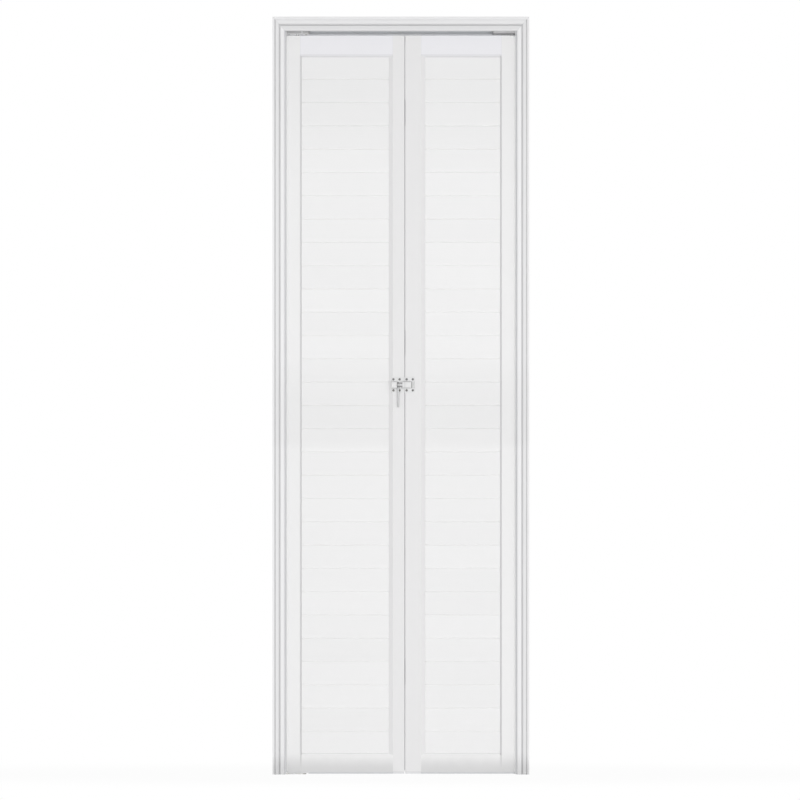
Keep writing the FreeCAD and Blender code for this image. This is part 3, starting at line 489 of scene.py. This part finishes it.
def makeBlockMaterial(name):
    material, tree, shader = startMaterial(name + "Nylon", specular=0.35)
    x, y, z = placeXYZ(tree)
    base = mixed(tree, "MIX", ramp(tree, z, *block[name + "Turn"]), *block[name])
    if name == "pivot":
        base = mixed(tree, "MIX", band(tree, x, *block["spot"], block["spotSoft"]), base, block["spotColor"])
    wire(tree, shader, addSkin(tree, "mouldedSkin", {"Color": base, **block["skin"]}), depth=block["sparkDepth"])
    return material


# Sweeps: grey under the rails and outer stiles, painted pale under the fold stiles and a little paler over the
# foot's plate, as painted light lifting their shade
sweep = {"color": (0.64, 0.65, 0.665, 1.0), "paintedLight": (0.80, 0.805, 0.815, 1.0), "fold": (-0.0215, 0.0560),
         "foldSoft": 0.0006, "skirt": (0.735, 0.737, 0.74, 1.0), "skirtEnd": -0.2566}


def makeSweepMaterial():
    material, tree, shader = startMaterial("sweepSeal")
    x = placeXYZ(tree)[0]
    base = mixed(tree, "MIX", band(tree, x, *sweep["fold"], sweep["foldSoft"]), sweep["color"], sweep["paintedLight"])
    base = mixed(tree, "MIX", maths(tree, "LESS_THAN", x, sweep["skirtEnd"]), base, sweep["skirt"])
    wire(tree, shader, addSkin(tree, "mouldedSkin", {"Color": base, "Roughness": 0.65}))
    return material


finishes = {
    "white_coat": makeCasingMaterial(),
    "leaf_coat": makeOuterStileMaterial(),
    "top_rail_coat": makeRailMaterial("top"),
    "bottom_rail_coat": makeRailMaterial("bottom"),
    "jamb_seal": makeJambSealMaterial(),
    "pivot_block": makeBlockMaterial("pivot"),
    "stop_block": makeBlockMaterial("stop"),
    "sweep_seal": makeSweepMaterial(),
    "fascia_grey": makeFasciaMaterial(),
    "fold_coat": makeFoldMaterial(),
    "plank_white": makePlankMaterial(),
    "grey_gasket": makeGasketMaterial(),
    "seal_rubber": groupMaterial("paleSeal", "mouldedSkin", {"Color": (0.66, 0.67, 0.69, 1.0), "Roughness": 0.65}),
    "white_nylon": groupMaterial("whiteNylon", "mouldedSkin", {"Color": (0.80, 0.805, 0.81, 1.0)}),
    "plug_nylon": groupMaterial("plugNylon", "satinCoat",
                                {"Color": (0.79, 0.79, 0.795, 1.0), "FloorShade": 0.5, "Roughness": 0.5}),
    "wheel_nylon": groupMaterial("wheelNylon", "mouldedSkin",
                                 {"Color": (0.74, 0.735, 0.70, 1.0), "Roughness": 0.38}),
    "mill_aluminium": groupMaterial("millAluminium", "drawnMetal",
                                    {"Color": (0.48, 0.49, 0.51, 1.0), "Scale": (12.0, 1400.0, 1400.0),
                                     "Roughness": 0.38}, 1.0),
    "cast_alloy": groupMaterial("castAlloy", "mouldedSkin",
                                {"Color": (0.42, 0.43, 0.44, 1.0), "Mottle": 0.2, "Grain": 500.0}, 1.0, 0.00012),
    "zinc_steel": groupMaterial("zincSteel", "zincPlate",
                                {"Color": (0.66, 0.663, 0.667, 1.0), "Roughness": 0.6}, 0.45),
    "zinc_screw": groupMaterial("zincScrew", "zincPlate", {"Color": (0.48, 0.48, 0.48, 1.0), "Grain": 700.0}, 1.0),
    "dark_screw": groupMaterial("darkScrew", "zincPlate",
                                {"Color": (0.20, 0.203, 0.207, 1.0), "Grain": 900.0, "Roughness": 0.42}, 0.85),
    "pin_steel": groupMaterial("pinSteel", "drawnMetal",
                               {"Color": (0.46, 0.465, 0.47, 1.0), "Scale": (300.0, 300.0, 2600.0)}, 1.0),
    "hinge_coat": groupMaterial("hingeCoat", "satinCoat", {"Color": (0.80, 0.805, 0.81, 1.0), "Roughness": 0.42}),
    "bolt_coat": makeBoltPlateMaterial(),
    "bolt_chrome": groupMaterial("satinChrome", "drawnMetal",
                                 {"Color": (0.46, 0.462, 0.466, 1.0), "Scale": (60.0, 1800.0, 1800.0),
                                  "Strength": 0.1, "Roughness": 0.52}, 1.0),
    "handle_metal": groupMaterial("handleMetal", "drawnMetal",
                                  {"Color": (0.37, 0.372, 0.376, 1.0), "Scale": (900.0, 900.0, 50.0),
                                   "Roughness": 0.46}, 1.0),
}
nodeFinish = {"jamb_seals": "jamb_seal", "head_fascia": "fascia_grey", "pivot_bracket_top": "pivot_block",
              "track_end_stop": "stop_block"}
for side in ("left", "right"):
    nodeFinish[side + "_fold_stile"] = "fold_coat"
    nodeFinish[side + "_top_rail"] = "top_rail_coat"
    nodeFinish[side + "_bottom_rail"] = "bottom_rail_coat"
    nodeFinish[side + "_sweep_seal"] = "sweep_seal"
    nodeFinish[side + "_stile_plugs"] = "plug_nylon"
for name, node in nodes.items():
    material = finishes[nodeFinish.get(name, slotOf[name])]
    for place in node.material_slots:
        place.material = material
    if not node.material_slots:
        node.data.materials.append(material)
print("finishes on the nodes:", len(finishes))


# Mesh helpers
# Edges that turn by less than this, in radians, are smoothed
shallowAngle = 0.6


# Merges doubled points, closes what is open where fill is set, turns the faces outwards and smooths shallow edges
def cleanMesh(mesh, smoothAngle=shallowAngle, fill=True):
    work = bmesh.new()
    work.from_mesh(mesh)
    bmesh.ops.remove_doubles(work, verts=work.verts, dist=1e-6)
    if fill:
        bmesh.ops.holes_fill(work, edges=work.edges, sides=0)
    bmesh.ops.recalc_face_normals(work, faces=work.faces)
    for face in work.faces:
        face.smooth = True
    for edge in work.edges:
        edge.smooth = len(edge.link_faces) == 2 and edge.calc_face_angle(0.0) < smoothAngle
    work.to_mesh(mesh)
    work.free()
    return mesh


# Puts a mesh in the scene in place of a node, with that node's finish and on its body
def addPiece(name, mesh, node):
    piece = bpy.data.objects.new(name, mesh)
    bpy.context.scene.collection.objects.link(piece)
    mesh.materials.clear()
    mesh.materials.append(finishes[nodeFinish.get(node, slotOf[node])])
    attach(piece, bodyOf[node])
    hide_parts(node)
    return piece


# One mesh from several (points, faces)
def joinedMesh(name, parts):
    points = []
    faces = []
    start = 0
    for pointList, faceList in parts:
        points.append(pointList)
        faces.append(faceList + start)
        start += len(pointList)
    mesh = bpy.data.meshes.new(name)
    mesh.from_pydata(np.concatenate(points).tolist(), [], np.concatenate(faces).tolist())
    return mesh


def addParts(name, parts, node, smoothAngle=shallowAngle):
    return addPiece(name, cleanMesh(joinedMesh(name, parts), smoothAngle), node)


# Quads of a grid whose columns close into a ring, and its rows too where closeAlong is set
def gridFaces(rows, columns, closeAlong=False):
    number = np.arange(rows * columns).reshape(rows, columns)
    number = np.concatenate([number, number[:, :1]], axis=1)
    if closeAlong:
        number = np.concatenate([number, number[:1]], axis=0)
    return np.stack([number[:-1, :-1], number[:-1, 1:], number[1:, 1:], number[1:, :-1]], axis=-1).reshape(-1, 4)


def meshPoints(mesh):
    points = np.empty(len(mesh.vertices) * 3, np.float32)
    mesh.vertices.foreach_get("co", points)
    return points.reshape(-1, 3)


# The places of a node's points, each one once
def nodePoints(name):
    return np.unique(np.round(meshPoints(nodes[name].data).astype(float), 6), axis=0)


# Cross-recessed screws in place of the plain blanks. Points within blankWidth across belong to one blank, and those
# past headShare of its reach to its head.
screwShape = {"blankWidth": 0.009, "headShare": 0.95, "headFit": 0.94, "columns": 40, "domeRows": 12,
              "domePower": 0.9, "domeRise": 0.7, "recessLength": 0.60, "recessWidth": 0.15, "recessDepth": 0.55,
              "threadPitch": 0.0014, "threadDepth": 0.14, "threadLength": 0.88, "stepsPerPitch": 3.0,
              "leastSteps": 6, "tipStart": 0.97, "tipRadius": 0.35}


# Each blank in a node, as its middle across the axis, tip, seat and top along it, and its two radii
def screwBlanks(name, axis):
    points = nodePoints(name)
    across = np.delete(points, axis, axis=1)
    along = points[:, axis]
    left = np.ones(len(points), bool)
    found = []
    while left.any():
        near = left & (np.linalg.norm(across - across[left][0], axis=1) < screwShape["blankWidth"])
        left &= ~near
        middle = (across[near].max(0) + across[near].min(0)) / 2.0
        reach = np.linalg.norm(across[near] - middle, axis=1)
        wide = reach > reach.max() * screwShape["headShare"]
        ends = along[near]
        headLow, headHigh = ends[wide].min(), ends[wide].max()
        tip = ends.max() if ends.max() - headHigh > headLow - ends.min() else ends.min()
        seat, top = (headHigh, headLow) if tip > headHigh else (headLow, headHigh)
        found.append((middle, tip, seat, top, reach[~wide].max(), reach.max() * screwShape["headFit"]))
    return found


# A screw's surface turns a profile round its axis: a domed head with r = R sin(a)^0.9 and z = h cos(a)^0.7, a
# cross cut into the dome, then a shank whose radius follows a triangle wave of (angle / turn - depth / pitch).
def screwParts(name, axis):
    turns = np.arange(screwShape["columns"]) / screwShape["columns"]
    angle = turns * 2.0 * math.pi
    parts = []
    for middle, tip, seat, top, shank, head in screwBlanks(name, axis):
        lean = np.linspace(0.0, math.pi / 2.0, screwShape["domeRows"])
        headRadius = head * np.sin(lean) ** screwShape["domePower"]
        headHeight = abs(top - seat) * np.cos(lean) ** screwShape["domeRise"]
        length = abs(seat - tip)
        steps = max(screwShape["leastSteps"], int(length / screwShape["threadPitch"] * screwShape["stepsPerPitch"]))
        depth = np.linspace(0.0, length * screwShape["threadLength"], steps)
        radius = np.concatenate([headRadius, [shank], np.full(steps, shank), [shank * screwShape["tipRadius"], 0.0]])
        level = np.concatenate([headHeight, [0.0], -depth, [-length * screwShape["tipStart"], -length]])
        u = radius[:, None] * np.cos(angle)
        v = radius[:, None] * np.sin(angle)
        w = np.repeat(level[:, None], len(angle), axis=1)
        arm, half = head * screwShape["recessLength"], head * screwShape["recessWidth"]
        bar = (np.abs(u) < half) & (np.abs(v) < arm) | (np.abs(v) < half) & (np.abs(u) < arm)
        bar[len(lean):] = False
        w = w - bar * abs(top - seat) * screwShape["recessDepth"]
        thread = np.mod(turns[None, :] + level[:, None] / screwShape["threadPitch"], 1.0)
        ridge = np.zeros(len(level))
        ridge[len(lean) + 1:len(lean) + 1 + steps] = screwShape["threadDepth"]
        swell = 1.0 + ridge[:, None] * (np.abs(thread - 0.5) * 2.0 - 0.5)
        out = 1.0 if top > seat else -1.0
        grid = np.empty(u.shape + (3,))
        others = [i for i in range(3) if i != axis]
        grid[..., others[0]] = middle[0] + u * swell
        grid[..., others[1]] = middle[1] + v * swell
        grid[..., axis] = seat + out * w
        parts.append((grid.reshape(-1, 3), gridFaces(len(level), len(angle))))
    return parts


screwNodes = {"fascia_screws": 2, "track_screws": 2, "pivot_bracket_top_screws": 2, "end_stop_screws": 2,
              "pivot_bracket_bottom_screws": 0, "left_hinge_screws": 1, "right_hinge_screws": 1,
              "bolt_housing_screws": 1, "bolt_keeper_screws": 1}
for name, axis in screwNodes.items():
    addParts(name + "_cross", screwParts(name, axis), name)
print("screws made:", len(screwNodes), "sets")


# Coil springs under the two sprung pins, each with its joint and that joint's travel
spring = {"wireRadius": 0.00052, "turns": 8.0, "closedTurns": 1.0, "stepsPerTurn": 28, "wireSides": 10,
          "top_pivot_spring": ("pivot_pin_plunge", 0.018), "guide_spring": ("guide_pin_plunge", 0.015)}


# A circle of the wire's radius carried along a helix. The height follows the turn with a slow start and
# end, so that the last turn at each end lies closed.
def springParts(node):
    low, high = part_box(node)
    centre = (low + high) / 2.0
    wire = spring["wireRadius"]
    reach = (high.x - low.x) / 2.0 - wire
    total = spring["turns"] + 2.0 * spring["closedTurns"]
    turn = np.linspace(0.0, total, int(total * spring["stepsPerTurn"]))
    closed = spring["closedTurns"]
    share = np.clip((turn - closed) / spring["turns"], 0.0, 1.0)
    rise = (high.z - low.z - 2.0 * wire) - 4.0 * wire * closed
    level = low.z + wire + 2.0 * wire * (np.minimum(turn, closed) + np.maximum(turn - closed - spring["turns"], 0.0))
    level = level + rise * share
    spin = turn * 2.0 * math.pi
    around = np.linspace(0.0, 2.0 * math.pi, spring["wireSides"], endpoint=False)
    radius = reach + wire * np.cos(around)[None, :]
    grid = np.stack([centre.x + radius * np.cos(spin)[:, None], centre.y + radius * np.sin(spin)[:, None],
                     level[:, None] + wire * np.sin(around)[None, :]], axis=-1)
    return [(grid.reshape(-1, 3), gridFaces(*grid.shape[:2]))]


for name in ("top_pivot_spring", "guide_spring"):
    coil = addParts(name + "_coil", springParts(name), name)
    low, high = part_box(name)
    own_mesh(coil)
print("springs made")


# Turned pieces: columns round the axis, steps in a softened corner, and the share of a side a corner may take
turning = {"columns": 64, "cornerSteps": 4, "cornerShare": 0.45}


# Each corner becomes the quadratic curve (1-t)^2 start + 2t(1-t) corner + t^2 end, whose start and end lie up to
# cut away from it. The two ends of an open profile stay.
def softened(profile, cut, closed):
    points = np.array(profile, float)
    back = np.roll(points, 1, axis=0) - points
    ahead = np.roll(points, -1, axis=0) - points
    backLength = np.linalg.norm(back, axis=1)
    aheadLength = np.linalg.norm(ahead, axis=1)
    reach = np.minimum(cut, np.minimum(backLength, aheadLength) * turning["cornerShare"])
    start = (points + back * (reach / backLength)[:, None])[:, None]
    end = (points + ahead * (reach / aheadLength)[:, None])[:, None]
    t = np.linspace(0.0, 1.0, turning["cornerSteps"])[None, :, None]
    curve = start * (1.0 - t) ** 2 + points[:, None] * 2.0 * t * (1.0 - t) + end * t ** 2
    if closed:
        return curve.reshape(-1, 2)
    return np.concatenate([points[:1], curve[1:-1].reshape(-1, 2), points[-1:]])


# A profile of (radius, level) carried round an axis: r cos a and r sin a across it, and level along it
def turnedParts(centre, profile, axis=2, closed=False):
    angle = np.linspace(0.0, 2.0 * math.pi, turning["columns"], endpoint=False)
    radius, level = np.asarray(profile)[:, :1], np.asarray(profile)[:, 1:]
    first, second = [i for i in range(3) if i != axis]
    grid = np.empty((len(radius), len(angle), 3))
    grid[..., first] = centre[0] + radius * np.cos(angle)
    grid[..., second] = centre[1] + radius * np.sin(angle)
    grid[..., axis] = level
    return grid.reshape(-1, 3), gridFaces(len(radius), len(angle), closed)


# Guide wheel: a nylon tyre with a dished web each side and a hub round the pin
wheel = {"bore": 0.00255, "hub": 0.0046, "hubFoot": 0.0049, "rimFoot": 0.0077, "rim": 0.0080, "web": 0.0012,
         "corner": 0.0007}
low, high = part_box("guide_wheel")
middle = ((low.x + high.x) / 2.0, (low.y + high.y) / 2.0)
outer = (high.x - low.x) / 2.0
webLow, webHigh = low.z + wheel["web"], high.z - wheel["web"]
profile = [(wheel["bore"], low.z), (wheel["hub"], low.z), (wheel["hubFoot"], webLow), (wheel["rimFoot"], webLow),
           (wheel["rim"], low.z), (outer, low.z), (outer, high.z), (wheel["rim"], high.z),
           (wheel["rimFoot"], webHigh), (wheel["hubFoot"], webHigh), (wheel["hub"], high.z), (wheel["bore"], high.z)]
tyre = turnedParts(middle, softened(profile, wheel["corner"], True), 2, True)
addParts("guide_wheel_tyre", [tyre], "guide_wheel")

# Hinge pins with domed ends
hingePin = {"dome": 0.0013}
points = nodePoints("hinge_pins")
middle = (points[:, :2].max(0) + points[:, :2].min(0)) / 2.0
radius = (points[:, 0].max() - points[:, 0].min()) / 2.0
levels = np.unique(np.round(points[:, 2], 5))
pins = []
for pinLow, pinHigh in levels.reshape(-1, 2):
    profile = [(0.0, pinLow), (radius, pinLow), (radius, pinHigh), (0.0, pinHigh)]
    pins.append(turnedParts(middle, softened(profile, hingePin["dome"], False)))
addParts("hinge_pins_domed", pins, "hinge_pins")

# Bolt rod and tail, turned along X with broken edges
bolt = {"spigot": 0.004, "shoulder": -0.0051, "corner": 0.0009, "tailCorner": 0.0014}
for name, corner in (("bolt_rod", bolt["corner"]), ("bolt_tail", bolt["tailCorner"])):
    low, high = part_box(name)
    middle = ((low.y + high.y) / 2.0, (low.z + high.z) / 2.0)
    radius = (high.z - low.z) / 2.0
    profile = [(0.0, low.x), (radius, low.x), (radius, high.x), (0.0, high.x)]
    if name == "bolt_rod":
        profile[1:2] = [(bolt["spigot"], low.x), (bolt["spigot"], bolt["shoulder"]), (radius, bolt["shoulder"])]
    addParts(name + "_turned", [turnedParts(middle, softened(profile, corner, False), 0)], name)

# Drop handle: a turned eye on the bolt's spigot, and a finger of squarish ovals. Its section is a superellipse
# |x/a|^2.6 + |y/b|^2.6 = 1 whose half sizes a and b change down its length and close in a round at the end.
handle = {"bore": 0.00405, "eye": 0.0074, "corner": 0.0010, "top": 0.0052, "power": 2.6, "rows": 60, "columns": 40,
          "topWidth": 0.97, "taper": 0.17, "depth": 0.0023, "setBack": 0.0001, "waist": 0.72, "endRound": 0.0030}
low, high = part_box("bolt_handle")
centreX = (low.x + high.x) / 2.0
halfX = (high.x - low.x) / 2.0
boltLow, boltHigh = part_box("bolt_rod")
axisY, axisZ = (boltLow.y + boltHigh.y) / 2.0, (boltLow.z + boltHigh.z) / 2.0
profile = [(handle["bore"], low.x), (handle["eye"], low.x), (handle["eye"], high.x), (handle["bore"], high.x)]
eye = turnedParts((axisY, axisZ), softened(profile, handle["corner"], True), 0, True)
top = axisZ - handle["top"]
share = np.linspace(0.0, 1.0, handle["rows"])
level = top + (low.z - top) * np.sin(share * math.pi / 2.0)
left = level - low.z
closing = np.sqrt(np.clip(1.0 - np.clip(1.0 - left / handle["endRound"], 0.0, 1.0) ** 2, 0.0, 1.0))
length = top - low.z
halfA = halfX * (handle["topWidth"] - handle["taper"] * (top - level) / length) * closing
bend = np.sin(np.clip((top - level) / length, 0.0, 1.0) * math.pi)
halfB = handle["depth"] * (1.0 - (1.0 - handle["waist"]) * bend) * closing
angle = np.linspace(0.0, 2.0 * math.pi, handle["columns"], endpoint=False)
cosine = np.sign(np.cos(angle)) * np.abs(np.cos(angle)) ** (2.0 / handle["power"])
sine = np.sign(np.sin(angle)) * np.abs(np.sin(angle)) ** (2.0 / handle["power"])
grid = np.empty((len(level), len(angle), 3))
grid[..., 0] = centreX + halfA[:, None] * cosine
grid[..., 1] = axisY + handle["setBack"] + halfB[:, None] * sine
grid[..., 2] = level[:, None]
finger = (grid.reshape(-1, 3), gridFaces(len(level), len(angle)))
addParts("bolt_handle_drop", [eye, finger], "bolt_handle")
print("turned and drawn hardware made")

# Soft-edged copies of the pressed and moulded hardware: the node's mesh with its doubles merged, and a bevel of
# this width
softEdges = {"bolt_housing": 0.0004, "bolt_keeper": 0.0004, "left_hinge_leaves": 0.0003,
             "right_hinge_leaves": 0.0003, "pivot_bracket_top": 0.0005, "pivot_bracket_bottom": 0.0004,
             "track_end_stop": 0.0005}
# The bolt's two plates reach almost over the fold seam: where their edge is in X, and where it goes
seamReach = {"bolt_housing": (0.0094, 0.0107), "bolt_keeper": (0.0124, 0.0111)}


def softCopy(name, width):
    mesh = nodes[name].data.copy()
    mesh.name = name + "_eased"
    if name in seamReach:
        points = meshPoints(mesh)
        edge, reach = seamReach[name]
        points[np.isclose(points[:, 0], edge, rtol=0.0, atol=0.00005), 0] = reach
        mesh.vertices.foreach_set("co", points.ravel())
    piece = addPiece(name + "_eased", cleanMesh(mesh, fill=False), name)
    bevel = piece.modifiers.new("easedEdges", "BEVEL")
    bevel.width = width
    bevel.segments = 2
    bevel.limit_method = "ANGLE"
    bevel.angle_limit = shallowAngle
    piece.modifiers.new("flatFaces", "WEIGHTED_NORMAL")


for name, width in softEdges.items():
    softCopy(name, width)
print("eased pieces:", len(softEdges))

# Bottom sweeps carried on under the stiles. The section is a base strip with soft ribs, and it is drawn along X.
# Over the foot's plate two short skirts take its place, one each side of the collar.
sweepShape = {"ribs": 5, "steps": 81, "drop": 0.35, "leftEnd": 0.0096, "rightStart": 0.0122, "rightEnd": 0.3178,
              "smoothAngle": 0.4, "skirtStart": -0.3158, "skirtGap": 0.0004, "skirtInside": 0.0106,
              "skirtLow": 0.0036, "skirtRibs": 1, "skirtSteps": 13, "skirtDrop": 0.2}


# The strip between two ends along X and two sides across. Its lower edge is a row of teeth, which rises from the
# lower level by drop times the strip's height times 1 - |cos|^0.5.
def stripParts(ends, sides, levels, ribs, steps, drop):
    across = np.linspace(*sides, steps)
    teeth = np.abs(np.cos(np.linspace(0.0, math.pi * ribs, steps))) ** 0.5
    under = levels[0] + (levels[1] - levels[0]) * drop * (1.0 - teeth)
    ring = np.concatenate([np.stack([across, under], 1), [[sides[1], levels[1]], [sides[0], levels[1]]]])
    rings = np.stack([np.column_stack([np.full(len(ring), x), ring]) for x in ends])
    return rings.reshape(-1, 3), gridFaces(2, len(ring))


for side in ("left", "right"):
    low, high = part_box(side + "_sweep_seal")
    start = low.x if side == "left" else sweepShape["rightStart"]
    teeth = [sweepShape[key] for key in ("ribs", "steps", "drop")]
    parts = [stripParts((start, sweepShape[side + "End"]), (low.y, high.y), (low.z, high.z), *teeth)]
    if side == "left":
        ends = (sweepShape["skirtStart"], low.x - sweepShape["skirtGap"])
        levels = (sweepShape["skirtLow"], high.z)
        teeth = [sweepShape[key] for key in ("skirtRibs", "skirtSteps", "skirtDrop")]
        for sides in ((low.y, -sweepShape["skirtInside"]), (sweepShape["skirtInside"], high.y)):
            parts.append(stripParts(ends, sides, levels, *teeth))
    addParts(side + "_sweep_ribbed", parts, side + "_sweep_seal", sweepShape["smoothAngle"])
print("sweeps made")

# Plain studio: a pale floor, white behind, and soft lamps
studio = {"world": 0.5, "floor": 40.0, "floorColor": (0.90, 0.90, 0.90, 1.0), "white": (1.0, 1.0, 1.0, 1.0),
          "shadowReach": (0.7, 2.4), "glow": 0.94, "aim": (0.0, 0.0, 1.05)}


# 1 for the rays that see the studio, 0 for those that only light it
def seenRays(tree):
    paths = addNode(tree, "LightPath").outputs
    seen = maths(tree, "MAXIMUM", paths["Is Camera Ray"], paths["Is Glossy Ray"])
    return maths(tree, "MAXIMUM", seen, paths["Is Transmission Ray"])


world = bpy.data.worlds.new("studio")
bpy.context.scene.world = world
world.use_nodes = True
tree = world.node_tree
tree.nodes.clear()
dim = addNode(tree, "Background", None, {"Color": studio["white"], "Strength": studio["world"]})
white = addNode(tree, "Background", None, {"Color": studio["white"], "Strength": 1.0})
both = addNode(tree, "MixShader", None, {0: seenRays(tree), 1: dim.outputs[0], 2: white.outputs[0]})
tree.links.new(both.outputs[0], addNode(tree, "OutputWorld").inputs[0])

reach = studio["floor"]
floorMesh = bpy.data.meshes.new("studioFloor")
corners = [(-reach, -reach, 0.0), (reach, -reach, 0.0), (reach, reach, 0.0), (-reach, reach, 0.0)]
floorMesh.from_pydata(corners, [], [(0, 1, 2, 3)])
floor = bpy.data.objects.new("studioFloor", floorMesh)
bpy.context.scene.collection.objects.link(floor)
floorMaterial = bpy.data.materials.new("studioFloor")
floorMaterial.use_nodes = True
tree = floorMaterial.node_tree
tree.nodes.clear()
matt = addNode(tree, "BsdfDiffuse", None, {"Color": studio["floorColor"]})
glow = addNode(tree, "Emission", None, {"Color": studio["white"], "Strength": 1.0})
distance = addNode(tree, "VectorMath", {"operation": "LENGTH"}, {0: addNode(tree, "TexCoord").outputs["Object"]})
share = ramp(tree, distance.outputs["Value"], *studio["shadowReach"], studio["glow"], 1.0)
share = maths(tree, "MULTIPLY", seenRays(tree), share)
both = addNode(tree, "MixShader", None, {0: share, 1: matt.outputs[0], 2: glow.outputs[0]})
tree.links.new(both.outputs[0], addNode(tree, "OutputMaterial").inputs[0])
floorMesh.materials.append(floorMaterial)

lamps = {
    "keyLamp": {"place": (0.3, -8.0, 1.0), "size": (6.0, 2.0), "power": 277.0},
    "backLamp": {"place": (1.2, 7.4, 2.4), "size": (3.6, 3.6), "power": 225.0},
}
for name, lamp in lamps.items():
    data = bpy.data.lights.new(name, "AREA")
    data.shape = "RECTANGLE"
    data.size, data.size_y = lamp["size"]
    data.energy = lamp["power"]
    light = bpy.data.objects.new(name, data)
    light.location = lamp["place"]
    light.rotation_euler = (Vector(studio["aim"]) - light.location).to_track_quat("-Z", "Y").to_euler()
    light.visible_camera = False
    bpy.context.scene.collection.objects.link(light)
print("studio made")

camera = {"x": -0.0025, "y": -60.05, "z": 1.038, "lens": 974.3}
cameraData = bpy.data.cameras.new("frontCamera")
cameraData.lens = camera["lens"]
cameraData.sensor_width = 36.0
cameraData.clip_start = 1.0
cameraData.clip_end = 200.0
viewer = bpy.data.objects.new("frontCamera", cameraData)
viewer.location = (camera["x"], camera["y"], camera["z"])
viewer.rotation_euler = (math.pi / 2.0, 0.0, 0.0)
bpy.context.scene.collection.objects.link(viewer)
bpy.context.scene.camera = viewer
bpy.context.scene.view_settings.view_transform = "Standard"
